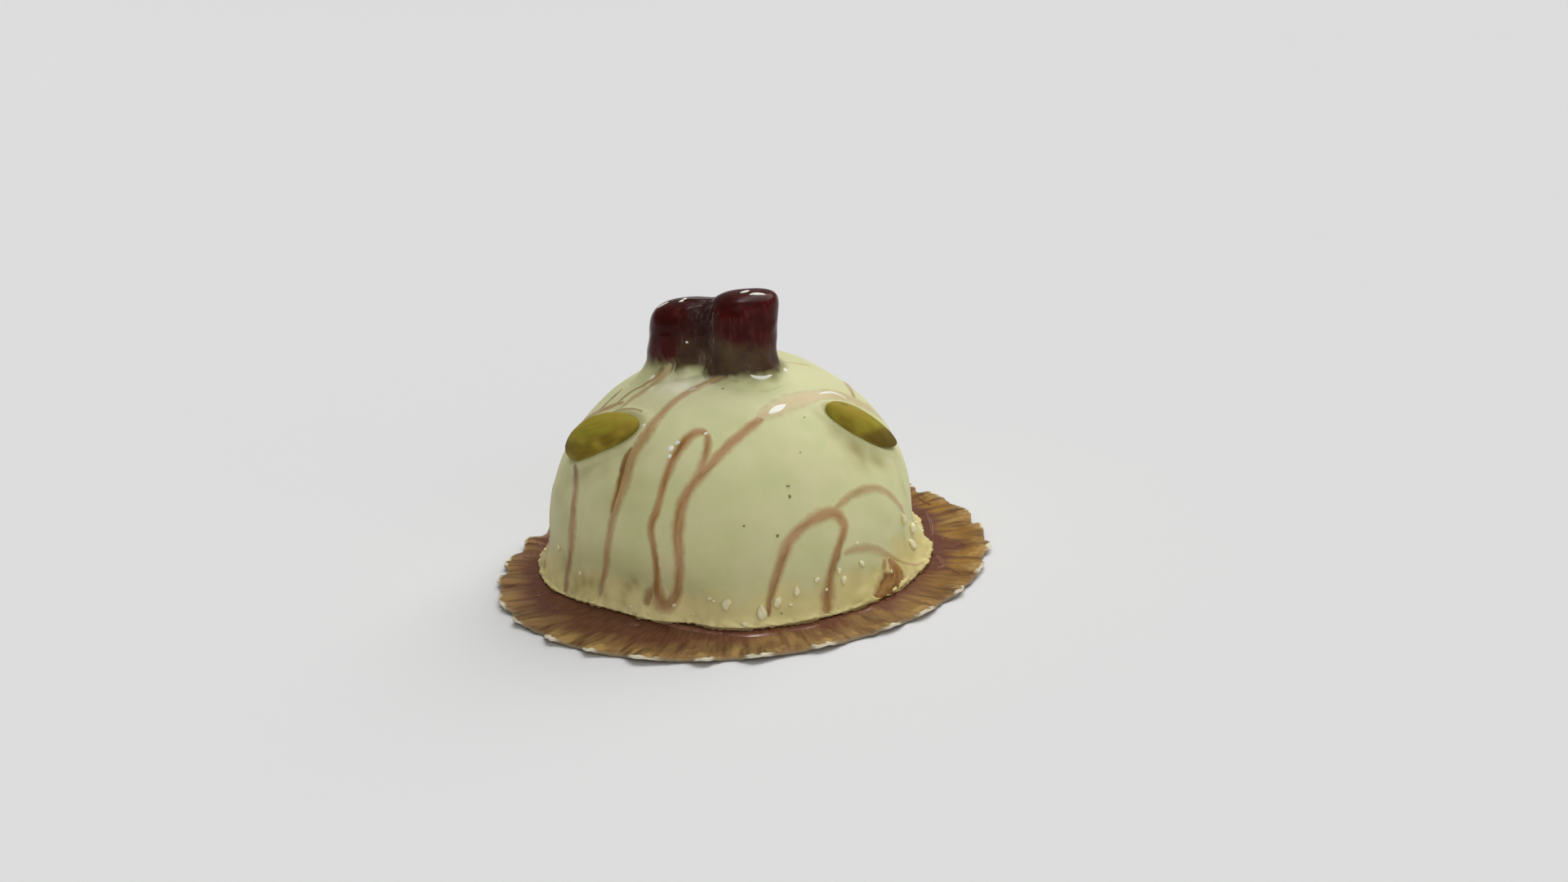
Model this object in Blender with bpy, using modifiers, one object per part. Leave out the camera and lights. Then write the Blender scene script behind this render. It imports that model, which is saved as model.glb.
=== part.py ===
"""A small dome cake under pistachio glaze, on its gilt card, with two cherries and three pistachios.

Metres and degrees, +Z up. The origin is at the middle of the card's underside. Azimuth 0 is
along +X and -90 faces the viewer; latitude is measured up from the foot of the dome.
"""

import math

import bmesh
import bpy
from mathutils import Matrix, Vector

TOUCH_GAP = 0.0003  # left between pieces that rest on or in each other

# The card: a stiff gilt disc whose rim is pressed into flutes that end in scallops.
CARD_RADIUS = 0.0498  # to the middle of the scallops
CARD_THICKNESS = 0.0008
CARD_FLAT_RADIUS = 0.0444  # the flutes start here, clear of the cake's foot
FLUTE_RINGS = 3
SCALLOPS = 28
SCALLOP_REACH = 0.0010  # how far a tip stands out past CARD_RADIUS
FLUTE_RISE = 0.00045  # half the height from a flute's valley to its ridge, at the rim
RIM_LIFT = 0.0006  # how far the rim is pressed up off the table
FIRST_TIP_AZIMUTH = 3.0
STEPS_PER_SCALLOP = 6

# The cake: a dome turned out of its mould on a low round base, its glaze run into a skirt.
CAKE_CENTRE = (-0.0015, 0.0024)  # it was set down a little off the card's middle
CAKE_FLOOR = CARD_THICKNESS + TOUCH_GAP
MOULD_RADIUS = 0.0373
BASE_HEIGHT = 0.0080
DOME_RISE = 0.0346
DOME_FULLNESS = 0.53  # 0.5 is a true half-ellipse; more is narrower towards the top
SKIRT_SPREAD = 0.0032
SKIRT_HEIGHT = 0.0034
SKIRT_CURVE = 1.3  # over 1, the skirt runs out to a rounder edge
FOOT_ROUNDING = 0.0006
CAKE_STEPS = 64  # round the cake
DOME_RINGS = 15
BASE_RINGS = 5

# Where the side isn't round: the azimuth of the middle, its spread in degrees, how far the
# side stands out there, and the height over which that dies out.
FOOT_SWELLS = (
    (-132.7, 27.8, -0.0049, 0.014),
    (-51.7, 30.3, 0.0014, 0.012),
    (-104.9, 8.6, -0.0018, 0.006),
    (-1.0, 13.0, -0.0016, 0.010),
    (168.0, 12.0, 0.0009, 0.008),
)

# The cherries: plump and squashed square, with straight sides down to a foot of syrup.
# cap is the height of the rounded top. squareness 2 would make it a plain arc, and corner is
# what is added towards corner_azimuth; tilt raises that side of the top. flare is what the
# syrup adds at the foot, and flare_height how fast it dies out upwards.
CHERRIES = (
    {
        "name": "cherry_right",
        "place": (0.00343, -0.00426),
        "half_width": 0.00697,
        "top": 0.0570,
        "cap": 0.0055,
        "squareness": 2.79,
        "corner": 1.28,
        "corner_azimuth": 0.0,
        "tilt": -0.022,
        "flare": 0.37,
        "flare_height": 0.0022,
        "lean": 0.162,
    },
    {
        "name": "cherry_left",
        "place": (-0.00794, 0.00065),
        "half_width": 0.00642,
        "top": 0.0551,
        "cap": 0.0053,
        "squareness": 2.75,
        "corner": 1.46,
        "corner_azimuth": -3.0,
        "tilt": 0.035,
        "flare": 0.37,
        "flare_height": 0.0025,
        "lean": 0.132,
    },
)
CORNER_SPREAD = 50.0  # how many degrees to either side the corner reaches
CHERRY_SEAT = 0.0400  # about the height at which the cherries meet the glaze
CHERRY_WIDEST = 0.0390  # the flare stops here, inside the dome
CHERRY_ROOT = 0.0345  # the bottom of a cherry's shape, which the dome cuts off
LEAN_FROM = 0.0490  # the height at which a leaning cherry is over its place
TILT_FROM = 0.0460  # the tilt starts at this height and is full TILT_RISE above it
TILT_RISE = 0.0060
CHERRY_LOBES = ((2, 0.025, 46.0), (3, 0.015, 0.0))  # lobes round it, their share, their turn
CHERRY_STEPS = 32
CHERRY_RINGS = 6  # in the cap, and again down the side

# The pistachios: shelled kernels pressed into the glaze. turn is how far the long side is
# turned out of the level; bow is how far both ends bend up the dome, as a bean, and is below
# zero where they bend down.
PISTACHIOS = (
    {
        "name": "pistachio_left",
        "azimuth": -149.5,
        "latitude": 42.8,
        "turn": 34.0,
        "length": 0.0193,
        "width": 0.0090,
        "bow": -0.12,
    },
    {
        "name": "pistachio_right",
        "azimuth": -26.4,
        "latitude": 35.4,
        "turn": -49.0,
        "length": 0.0191,
        "width": 0.0067,
        "bow": 0.16,
    },
    {
        "name": "pistachio_back",
        "azimuth": 93.0,
        "latitude": 38.0,
        "turn": 24.0,
        "length": 0.0185,
        "width": 0.0088,
        "bow": 0.08,
    },
)
KERNEL_THICKNESS = 0.82  # as a share of its width
KERNEL_NARROWING = 0.20  # towards one end, as an egg
KERNEL_POINTING = 0.10  # towards both ends
KERNEL_PROUD = 0.0001  # how far its middle stands off the glaze
KERNEL_SEGMENTS = 24
KERNEL_RINGS = 14


def make_collection(name):
    collection = bpy.data.collections.new(name)
    bpy.context.scene.collection.children.link(collection)
    return collection


def make_material(name, colour, roughness, metallic=0.0):
    material = bpy.data.materials.new(name)
    material.use_nodes = True
    surface = material.node_tree.nodes["Principled BSDF"]
    surface.inputs["Base Color"].default_value = (*colour, 1.0)
    surface.inputs["Roughness"].default_value = roughness
    surface.inputs["Metallic"].default_value = metallic
    material.diffuse_color = (*colour, 1.0)
    return material


def add_object(name, mesh, collection, material=None):
    made = bpy.data.objects.new(name, mesh)
    collection.objects.link(made)
    if material:
        mesh.materials.append(material)
    return made


def hide_cutter(cutter):
    cutter.hide_render = True
    cutter.display_type = "WIRE"
    return cutter


def turned_mesh(name, profile, steps, collection):
    """The mesh that a profile of (radius, height) points sweeps in one full turn about Z."""
    outline = bpy.data.meshes.new(name + "_profile")
    points = [(radius, 0.0, height) for radius, height in profile]
    outline.from_pydata(points, [(i, i + 1) for i in range(len(points) - 1)], [])
    guide = add_object(name + "_profile", outline, collection)
    screw = guide.modifiers.new("turn", "SCREW")
    screw.steps = steps
    screw.render_steps = steps
    screw.use_merge_vertices = True
    screw.merge_threshold = 0.00001
    evaluated = guide.evaluated_get(bpy.context.evaluated_depsgraph_get())
    mesh = bpy.data.meshes.new_from_object(evaluated)
    mesh.name = name
    bpy.data.objects.remove(guide)
    return mesh


def shade_smooth(mesh, sharp_angle=35.0):
    mesh.shade_smooth()
    mesh.set_sharp_from_angle(angle=math.radians(sharp_angle))


def cut_with(piece, cutter):
    cut = piece.modifiers.new(cutter.name, "BOOLEAN")
    cut.operation = "DIFFERENCE"
    cut.object = cutter


# ---- the gilt card


def flute_share(radius):
    """0 on the flat middle of the card, rising smoothly to 1 at its rim."""
    share = max(0.0, (radius - CARD_FLAT_RADIUS) / (CARD_RADIUS - CARD_FLAT_RADIUS))
    return share * share * (3.0 - 2.0 * share)


def build_card(collection):
    rim_width = CARD_RADIUS - CARD_FLAT_RADIUS
    rings = [CARD_FLAT_RADIUS + rim_width * ring / FLUTE_RINGS for ring in range(FLUTE_RINGS + 1)]
    flat = [(radius, 0.0) for radius in [0.0, *rings]]
    mesh = turned_mesh("gilt_card", flat, SCALLOPS * STEPS_PER_SCALLOP, collection)
    for vertex in mesh.vertices:
        radius = math.hypot(vertex.co.x, vertex.co.y)
        share = flute_share(radius)
        if share > 0.0:
            azimuth = math.atan2(vertex.co.y, vertex.co.x)
            wave = math.cos(SCALLOPS * (azimuth - math.radians(FIRST_TIP_AZIMUTH)))
            reach = 1.0 + SCALLOP_REACH * wave * share / radius
            vertex.co.x *= reach
            vertex.co.y *= reach
            vertex.co.z = share * (RIM_LIFT + FLUTE_RISE * wave)
    shade_smooth(mesh)
    gilt = make_material("gilt_board", (0.36, 0.22, 0.09), 0.35, 0.8)
    card = add_object("gilt_card", mesh, collection, gilt)
    board = card.modifiers.new("board", "SOLIDIFY")
    board.thickness = CARD_THICKNESS
    facing_up = sum(face.normal.z for face in mesh.polygons) > 0.0
    board.offset = 1.0 if facing_up else -1.0
    return card


# ---- the glazed cake


def skirt(height):
    return SKIRT_SPREAD * math.exp(-((height / SKIRT_HEIGHT) ** SKIRT_CURVE))


def dome_point(latitude):
    """(radius, height above the card) of the dome's skin at a latitude in radians."""
    radius = MOULD_RADIUS * math.cos(latitude) ** (2.0 * DOME_FULLNESS)
    return radius, BASE_HEIGHT + DOME_RISE * math.sin(latitude)


def cake_profile(clearance):
    """(radius, height above the card) from the dome's top down to the foot and in to the axis."""
    profile = [(0.0, BASE_HEIGHT + DOME_RISE + clearance)]
    for ring in range(1, DOME_RINGS + 1):
        latitude = math.radians(90.0 * (1.0 - ring / DOME_RINGS))
        radius, height = dome_point(latitude)
        radius += clearance * math.cos(latitude) + skirt(height)
        profile.append((radius, height + clearance * math.sin(latitude)))
    for ring in range(1, BASE_RINGS):
        height = BASE_HEIGHT * (1.0 - ring / BASE_RINGS) ** 1.4
        profile.append((MOULD_RADIUS + clearance + skirt(height), height))
    foot_radius = MOULD_RADIUS + clearance + SKIRT_SPREAD - FOOT_ROUNDING
    return profile + [(foot_radius, -clearance), (0.0, -clearance)]


def swell(azimuth, height):
    """How far the cake's side stands out past round at this azimuth and height."""
    total = 0.0
    for middle, spread, reach, fade in FOOT_SWELLS:
        apart = (azimuth - middle + 180.0) % 360.0 - 180.0
        total += reach * math.exp(-((apart / spread) ** 2) - (height / fade) ** 2)
    return total


def cake_mesh(name, collection, clearance=0.0):
    mesh = turned_mesh(name, cake_profile(clearance), CAKE_STEPS, collection)
    for vertex in mesh.vertices:
        azimuth = math.degrees(math.atan2(vertex.co.y, vertex.co.x))
        grown = 1.0 + swell(azimuth, max(vertex.co.z, 0.0)) / MOULD_RADIUS
        vertex.co.x *= grown
        vertex.co.y *= grown
    shade_smooth(mesh)
    return mesh


def build_cake(collection):
    glaze = make_material("pistachio_glaze", (0.56, 0.54, 0.31), 0.25)
    cake = add_object("cake", cake_mesh("cake", collection), collection, glaze)
    cake.location = (*CAKE_CENTRE, CAKE_FLOOR)
    return cake


def build_glaze_clearance(collection):
    """The cake grown by the touching gap, which trims whatever is set in its glaze."""
    mesh = cake_mesh("glaze_clearance", collection, TOUCH_GAP)
    cutter = add_object("glaze_clearance", mesh, collection)
    cutter.location = (*CAKE_CENTRE, CAKE_FLOOR)
    return hide_cutter(cutter)


# ---- the cherries


def cherry_profile(cherry, clearance):
    """(radius, height over the table) from the middle of the top, down the side, to the root."""
    power = 2.0 / cherry["squareness"]
    half_width = cherry["half_width"] + clearance
    shoulder = cherry["top"] - cherry["cap"]
    profile = [(0.0, cherry["top"] + clearance)]
    for ring in range(1, CHERRY_RINGS + 1):
        turn = math.radians(90.0 * ring / CHERRY_RINGS)
        height = shoulder + (cherry["cap"] + clearance) * max(math.cos(turn), 0.0) ** power
        profile.append((half_width * math.sin(turn) ** power, height))
    for ring in range(1, CHERRY_RINGS + 1):
        height = shoulder + (CHERRY_WIDEST - shoulder) * ring / CHERRY_RINGS
        above_seat = (height - CHERRY_SEAT) / cherry["flare_height"]
        flare = cherry["half_width"] * cherry["flare"] * math.exp(-above_seat)
        profile.append((half_width + flare, height))
    return profile + [(half_width, CHERRY_ROOT), (0.0, CHERRY_ROOT)]


def cherry_mesh(name, cherry, collection, clearance=0.0):
    """The turned cherry, squared off towards its corner, then lobed, tilted and leaned."""
    mesh = turned_mesh(name, cherry_profile(cherry, clearance), CHERRY_STEPS, collection)
    half_width = cherry["half_width"] + clearance
    cap = cherry["cap"] + clearance
    shoulder = cherry["top"] - cherry["cap"]
    for vertex in mesh.vertices:
        azimuth = math.atan2(vertex.co.y, vertex.co.x)
        radius, height = math.hypot(vertex.co.x, vertex.co.y), vertex.co.z
        if height > shoulder and radius > 0.0:
            apart = (math.degrees(azimuth) - cherry["corner_azimuth"] + 180.0) % 360.0 - 180.0
            corner = cherry["corner"] * math.exp(-((apart / CORNER_SPREAD) ** 2))
            power = cherry["squareness"] / (cherry["squareness"] + corner)
            radius = half_width * (radius / half_width) ** power
            height = shoulder + cap * ((height - shoulder) / cap) ** power
        for count, share, turn in CHERRY_LOBES:
            radius *= 1.0 + share * math.cos(count * azimuth + math.radians(turn))
        across = radius * math.cos(azimuth)
        tilted = min(max((height - TILT_FROM) / TILT_RISE, 0.0), 1.0)
        vertex.co.x = across + cherry["lean"] * (height - LEAN_FROM)
        vertex.co.y = radius * math.sin(azimuth)
        vertex.co.z = height + cherry["tilt"] * across * tilted
    shade_smooth(mesh)
    return mesh


def build_cherries(collection, cutters, glaze_clearance):
    """Both cherries, trimmed to the glaze; the left one is pressed flat against the right."""
    flesh = make_material("cherry_flesh", (0.10, 0.012, 0.010), 0.15)
    made = []
    for cherry in CHERRIES:
        mesh = cherry_mesh(cherry["name"], cherry, collection)
        placed = add_object(cherry["name"], mesh, collection, flesh)
        placed.location = (*cherry["place"], 0.0)
        cut_with(placed, glaze_clearance)
        made.append(placed)
    right, left = CHERRIES[0], made[1]
    mesh = cherry_mesh("cherry_clearance", right, cutters, TOUCH_GAP)
    neighbour = hide_cutter(add_object("cherry_clearance", mesh, cutters))
    neighbour.location = (*right["place"], 0.0)
    cut_with(left, neighbour)


# ---- the pistachios


def kernel_mesh(nut):
    """A kernel along X: an egg that narrows to one end and is a little bowed."""
    mesh = bpy.data.meshes.new(nut["name"])
    ball = bmesh.new()
    bmesh.ops.create_uvsphere(
        ball, u_segments=KERNEL_SEGMENTS, v_segments=KERNEL_RINGS, radius=1.0
    )
    ball.to_mesh(mesh)
    ball.free()
    for vertex in mesh.vertices:
        along, across, off = vertex.co
        narrow = 1.0 - KERNEL_NARROWING * along - KERNEL_POINTING * along * along
        vertex.co.x = along * nut["length"] / 2.0
        vertex.co.y = (across * narrow + nut["bow"] * along * along) * nut["width"] / 2.0
        vertex.co.z = off * narrow * KERNEL_THICKNESS * nut["width"] / 2.0
    shade_smooth(mesh)
    return mesh


def place_on_dome(azimuth, latitude, turn, proud):
    """A topping's matrix: local Z stands off the dome, local X lies level and is then turned."""
    around, up = math.radians(azimuth), math.radians(latitude)
    radius, height = dome_point(up)
    higher_radius, higher_height = dome_point(up + 0.01)
    slope = math.atan2(radius - higher_radius, higher_height - height)
    side = Vector((math.cos(around), math.sin(around), 0.0))
    level = Vector((-math.sin(around), math.cos(around), 0.0))
    outward = side * math.cos(slope) + Vector((0.0, 0.0, math.sin(slope)))
    axes = Matrix((level, outward.cross(level), outward)).transposed()
    centre = Vector((*CAKE_CENTRE, CAKE_FLOOR + height)) + side * radius + outward * proud
    spin = Matrix.Rotation(math.radians(turn), 4, "Z")
    return Matrix.Translation(centre) @ axes.to_4x4() @ spin


def build_pistachios(collection, glaze_clearance):
    skin = make_material("pistachio_kernel", (0.23, 0.22, 0.03), 0.5)
    for nut in PISTACHIOS:
        kernel = add_object(nut["name"], kernel_mesh(nut), collection, skin)
        kernel.matrix_world = place_on_dome(
            nut["azimuth"], nut["latitude"], nut["turn"], KERNEL_PROUD
        )
        cut_with(kernel, glaze_clearance)


def main():
    for existing in list(bpy.data.objects):
        bpy.data.objects.remove(existing)
    parts = make_collection("pistachio_cake")
    cutters = make_collection("cutters")
    build_card(parts)
    build_cake(parts)
    glaze_clearance = build_glaze_clearance(cutters)
    build_cherries(parts, cutters, glaze_clearance)
    build_pistachios(parts, glaze_clearance)
    bpy.context.view_layer.update()


main()
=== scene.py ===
"""A small pistachio dome cake on its gilt card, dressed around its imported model.

Metres, +Z up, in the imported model's frame: the origin is at the middle of the card's underside.
Azimuth 0 is along +X and -90 faces the viewer. Colours are sRGB hex. What is placed by the photo
starts with its pixels across and down.
"""

import math
from functools import partial

import bpy
import numpy as np
from mathutils import Matrix, Vector
from mathutils.bvhtree import BVHTree


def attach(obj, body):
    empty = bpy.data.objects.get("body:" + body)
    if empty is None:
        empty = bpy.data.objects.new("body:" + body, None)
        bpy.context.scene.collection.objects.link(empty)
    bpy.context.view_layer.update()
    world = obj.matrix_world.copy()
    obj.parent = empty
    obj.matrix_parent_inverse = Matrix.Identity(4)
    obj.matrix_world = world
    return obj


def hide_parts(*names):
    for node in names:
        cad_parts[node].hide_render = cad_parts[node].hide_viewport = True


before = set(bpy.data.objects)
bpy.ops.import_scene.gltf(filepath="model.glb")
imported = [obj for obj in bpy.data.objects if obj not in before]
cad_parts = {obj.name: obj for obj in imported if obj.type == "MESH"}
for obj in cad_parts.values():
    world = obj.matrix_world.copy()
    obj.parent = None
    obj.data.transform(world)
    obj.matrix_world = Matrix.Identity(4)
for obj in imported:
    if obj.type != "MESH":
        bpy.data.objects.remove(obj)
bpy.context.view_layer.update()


# ---- the view, the table and the light
# The cake stands on a plain pale table that sweeps up far away. It is lit by a small soft lamp
# overhead, a wide one behind its right side, a low one and a high one in front and the pale room.

PHOTO_WIDTH = 1920
PHOTO_HEIGHT = 1080
SENSOR_WIDTH = 36.0
LENS = 37.79
CAMERA_DISTANCE = 0.339776
CAMERA_ELEVATION = math.radians(21.5296)
CAMERA_TURNS = (("X", 90.0), ("Y", -1.8729), ("X", -17.5917), ("Z", -4.7786))
TABLE_FLAT_TO = 2.0
TABLE_SWEEP = 6.0  # the radius of the far sweep
TABLE_SWEEP_TURN = math.radians(25.0)
TABLE_RINGS = 13
TABLE_STEPS = 96
TABLE_DROP = 0.0001  # keeps the table's top clear of the card's flat underside
TABLE_PAINT = "#e7e7e7"
ROOM_LIGHT = 0.145
LAMPS = (
    # name, azimuth, elevation, strength, width of the lamp in degrees
    ("overhead_lamp", 100.0, 72.0, 0.40, 8.0),
    ("key_lamp", 45.0, 54.0, 1.88, 55.0),
    ("front_lamp", -60.0, 12.0, 0.60, 50.0),
    ("fill_lamp", -95.0, 58.0, 0.38, 50.0),
)


def linear(colour):
    """The linear colour that Blender takes, from an sRGB hex."""
    shares = [int(colour[i : i + 2], 16) / 255.0 for i in (1, 3, 5)]
    straight = [s / 12.92 if s <= 0.04045 else ((s + 0.055) / 1.055) ** 2.4 for s in shares]
    return (*straight, 1.0)


def add_node(tree, kind, sockets=None, **settings):
    """Adds a node with its settings. A socket takes a value, a node or one of its outputs, or the
    name of a note, which is a number that the mesh carries at each of its points."""
    node = tree.nodes.new("ShaderNode" + kind)
    for name, value in settings.items():
        setattr(node, name, value)
    for name, value in (sockets or {}).items():
        if isinstance(value, str):
            value = add_node(tree, "Attribute", attribute_name=value).outputs["Fac"]
        elif isinstance(value, bpy.types.Node):
            value = next(output for output in value.outputs if output.enabled)
        if isinstance(value, bpy.types.NodeSocket):
            tree.links.new(value, node.inputs[name])
        else:
            node.inputs[name].default_value = value
    return node


def new_material(name):
    """A material with no nodes yet, and its node tree."""
    material = bpy.data.materials.new(name)
    material.use_nodes = True
    material.node_tree.nodes.clear()
    return material, material.node_tree


def new_piece(name, points, faces, material, notes=None):
    """A smooth mesh in the scene, with its notes: a number or a place at each of its points."""
    mesh = bpy.data.meshes.new(name)
    mesh.from_pydata(np.asarray(points).tolist(), [], faces)
    mesh.materials.append(material)
    for note, values in (notes or {}).items():
        values = np.asarray(values, np.float32)
        kind, field = ("FLOAT", "value") if values.ndim == 1 else ("FLOAT_VECTOR", "vector")
        mesh.attributes.new(note, kind, "POINT").data.foreach_set(field, values.ravel())
    mesh.shade_smooth()
    piece = bpy.data.objects.new(name, mesh)
    scene.collection.objects.link(piece)
    return piece


def whole_turn(steps):
    """Azimuths in radians, evenly spaced once round."""
    return np.arange(steps) * 2.0 * math.pi / steps


def turned(radii, azimuths, heights):
    """Points round the upright axis."""
    places = np.broadcast_arrays(radii * np.cos(azimuths), radii * np.sin(azimuths), heights)
    return np.stack(places, axis=-1)


def ring_cells(count, steps):
    """The four-sided faces between rings of points, each ring outside or below the last."""
    index = np.arange(count * steps).reshape(count, steps)
    after = np.roll(index, -1, axis=1)
    return np.stack((index[:-1], index[1:], after[1:], after[:-1]), axis=-1).reshape(-1, 4).tolist()


scene = bpy.context.scene
scene.view_settings.view_transform = "Standard"

camera_side = Vector((0.0, -math.cos(CAMERA_ELEVATION), math.sin(CAMERA_ELEVATION)))
camera_place = Matrix.Translation(CAMERA_DISTANCE * camera_side)
for axis, turn in CAMERA_TURNS:
    camera_place = camera_place @ Matrix.Rotation(math.radians(turn), 4, axis)
view = bpy.data.cameras.new("view")
view.sensor_width = SENSOR_WIDTH
view.lens = LENS
camera = bpy.data.objects.new("view", view)
camera.matrix_world = camera_place
scene.collection.objects.link(camera)
scene.camera = camera

room = bpy.data.worlds.new("room")
room.use_nodes = True
room.node_tree.nodes.clear()
white = (1.0, 1.0, 1.0, 1.0)
room_light = add_node(room.node_tree, "Background", {"Color": white, "Strength": ROOM_LIGHT})
add_node(room.node_tree, "OutputWorld", {"Surface": room_light})
scene.world = room

for lamp_name, azimuth, elevation, strength, width in LAMPS:
    around, up = math.radians(azimuth), math.radians(elevation)
    level = math.cos(up)
    towards = Vector((level * math.cos(around), level * math.sin(around), math.sin(up)))
    lamp = bpy.data.lights.new(lamp_name, "SUN")
    lamp.energy = strength
    lamp.angle = math.radians(width)
    hung = bpy.data.objects.new(lamp_name, lamp)
    hung.rotation_euler = towards.to_track_quat("Z", "Y").to_euler()
    scene.collection.objects.link(hung)

# Matt emulsion paint on a table top: an even pale grey with no shine.
table_paint, tree = new_material("table_paint")
painted = add_node(
    tree, "BsdfPrincipled", {"Base Color": linear(TABLE_PAINT), "Roughness": 1.0, "Specular IOR Level": 0.0}
)
add_node(tree, "OutputMaterial", {"Surface": painted})

sweep = np.linspace(0.0, TABLE_SWEEP_TURN, TABLE_RINGS)[:, None]
sweep_radii = TABLE_FLAT_TO + TABLE_SWEEP * np.sin(sweep)
table_rings = turned(sweep_radii, whole_turn(TABLE_STEPS), TABLE_SWEEP * (1.0 - np.cos(sweep)) - TABLE_DROP)
table_faces = [list(range(TABLE_STEPS)), *ring_cells(TABLE_RINGS, TABLE_STEPS)]
table = new_piece("table", table_rings.reshape(-1, 3), table_faces, table_paint)


# ---- the gilt card
# A stiff round of cardboard laid with gold foil, stamped so that its rim is pressed up into
# flutes with scalloped ends. Syrup from the cake has soaked into it round the cake's foot, and
# the cake's shadow is painted there as well, reaching furthest to the front left.

CARD_RADIUS = 0.0498
CARD_THICKNESS = 0.0008
CARD_FLAT_RADIUS = 0.0444
SCALLOPS = 28
SCALLOP_REACH = 0.0009
SCALLOP_MOST = 0.93  # of the reach
SCALLOP_SIZE = 0.62  # the usual tip, as a share of the largest
SCALLOP_STRAY = 0.34  # how much the tips differ
FRAYING = ((0.16, 0.0019, 6), (0.10, 0.0011, 7))
FLUTE_RISE = 0.00045
FLUTES_STRAY = math.radians(1.6)
RIM_LIFT = 0.0006
FIRST_TIP_AZIMUTH = math.radians(3.0)
CARD_STEPS = SCALLOPS * 26
CARD_INNER_RADII = np.linspace(0.004, 0.036, 6)
CARD_OUTER_RADII = np.linspace(0.0372, CARD_RADIUS, 58)
CREASE_COUNTS = (47, 61, 83, 97, 118)  # creases round the card, in coarse and fine sets
CREASE_DEPTH = 0.00010
CREASE_SKEW = 260.0  # how far creases slant, in radians a metre
CREASES_START = 0.040  # the radius where they begin
CREASES_WHOLE = 0.046  # the radius where they are deepest
RIM_THINNING = 0.00035  # the stamped rim is pressed thinner than the flat middle
THINNING_START = 0.0455
CUT_BEVEL = 0.00008
CUT_PROUD = 0.00002
SHARP_EDGE = math.radians(50.0)
CAKE_CENTRE = (-0.0015, 0.0024)
FOOT_RADIUS = 0.0402
SOAKED_REACH = 0.0047  # how far past the cake's foot the syrup stain and painted shade reach
SOAKED_UNEVENNESS = 0.0012
SHADOW_FURTHER = (-120.0, 34.0, 0.15)  # azimuth, spread in degrees, share of the reach: the painted shadow reaches further to the front left
DARK_SPOTS = (  # where the syrup stain and painted shade stand further out: x, y and reach in metres, strength
    (0.0425, -0.0062, 0.0042, 0.85), (0.0398, 0.0, 0.0028, 0.7), (0.0264, -0.0339, 0.003, 0.6),
    (0.0452, 0.0125, 0.0022, 0.5), (-0.042, -0.015, 0.003, 0.35), (-0.044, -0.004, 0.0034, 0.45),
    (-0.044, 0.008, 0.0034, 0.4), (0.033, -0.027, 0.003, 0.5), (0.01, -0.043, 0.0026, 0.4),
    (0.01, 0.047, 0.003, 0.5), (-0.038, 0.025, 0.0034, 0.5),
)
GOLD_SPOTS = (  # golden patches on the foil near the rim, laid into the same note as the painted highlight
    (-0.0331, -0.0338, 0.0028, 1.0), (-0.03, -0.0362, 0.0024, 0.8), (-0.0362, -0.0298, 0.0024, 0.7),
    (-0.0015, -0.0466, 0.0026, 0.8), (0.044, 0.009, 0.0032, 0.7),
)
HIGHLIGHT_FROM_EDGE = 0.0016  # how far in from the edge the gold with painted highlight is strongest
HIGHLIGHT_SPREAD = 0.0012
PAPER_FIBRES = ((1.0, 0.0020, 9), (0.6, 0.0009, 10))
BARE_WIDTH = 0.00075  # how far in from the edge bare paper shows
SPOKE_PITCH = 0.0026  # the dark streaks that run outwards over the foil
SPOKE_STRETCH = 0.22
FINE_SPOKE_PITCH = 0.0007
PATCH_PITCH = 0.010
FOIL_GOLD = "#b19056"
FOIL_TAN = "#9c794b"
FOIL_BROWN = "#7d5a3b"
FOIL_DARK = "#4b2c18"
FOIL_LIT_SIDE = "#9c6f22"
SYRUP_STAIN_AND_SHADE = "#6b3c31"
BARE_PAPER = "#e9e2c8"
CUT_BOARD = "#9a8c70"


def unevenness(points, pitch, seed, waves=30):
    """A smooth random value of about -1 to 1 at each point, with bumps about a pitch apart."""
    chance = np.random.default_rng(seed)
    ways = chance.normal(size=(waves, 3))
    ways *= chance.uniform(0.6, 1.4, (waves, 1)) / np.linalg.norm(ways, axis=1, keepdims=True)
    starts = chance.uniform(0.0, 2.0 * math.pi, waves)
    turns = np.asarray(points) @ ways.T * (2.0 * math.pi / pitch) + starts
    return np.cos(turns).sum(axis=-1) / math.sqrt(waves)


def bumps(points, sizes):
    """Several sorts of unevenness together, each given by its height, its pitch and its seed."""
    return sum(height * unevenness(points, pitch, seed) for height, pitch, seed in sizes)


def smooth_share(start, end, value):
    """0 at start, 1 at end, smooth between; start may be the larger."""
    share = np.clip((value - start) / (end - start), 0.0, 1.0)
    return share * share * (3.0 - 2.0 * share)


def bell(value, spread):
    """1 where a value is 0, falling away smoothly on both sides."""
    return np.exp(-((value / spread) ** 2))


def strongest(points, spots):
    """At each point, the strongest of some soft spots, each a middle, a reach and a strength."""
    shown = np.zeros(points.shape[:-1])
    for *middle, reach, strength in spots:
        apart = np.linalg.norm(points - np.array(middle), axis=-1)
        shown = np.maximum(shown, strength * bell(apart, reach))
    return shown


def ring_faces(rings):
    """(points, faces) of a closed skin over rings that go round and downwards, with two caps."""
    count, steps = rings.shape[:2]
    top, bottom = count * steps, count * steps + 1
    first, last = list(range(steps)), list(range(top - steps, top))
    faces = ring_cells(count, steps)
    faces += [(top, a, b) for a, b in zip(first, first[1:] + first[:1])]
    faces += [(bottom, b, a) for a, b in zip(last, last[1:] + last[:1])]
    middles = np.stack((rings[0].mean(axis=0), rings[-1].mean(axis=0)))
    return np.vstack((rings.reshape(-1, 3), middles)), faces


def ring_notes(**notes):
    """The rings' notes as the points go, with the mean of the first and last rings for the caps."""
    return {
        name: np.concatenate((values.reshape(-1, *values.shape[2:]), values[[0, -1]].mean(axis=1)))
        for name, values in notes.items()
    }


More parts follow.
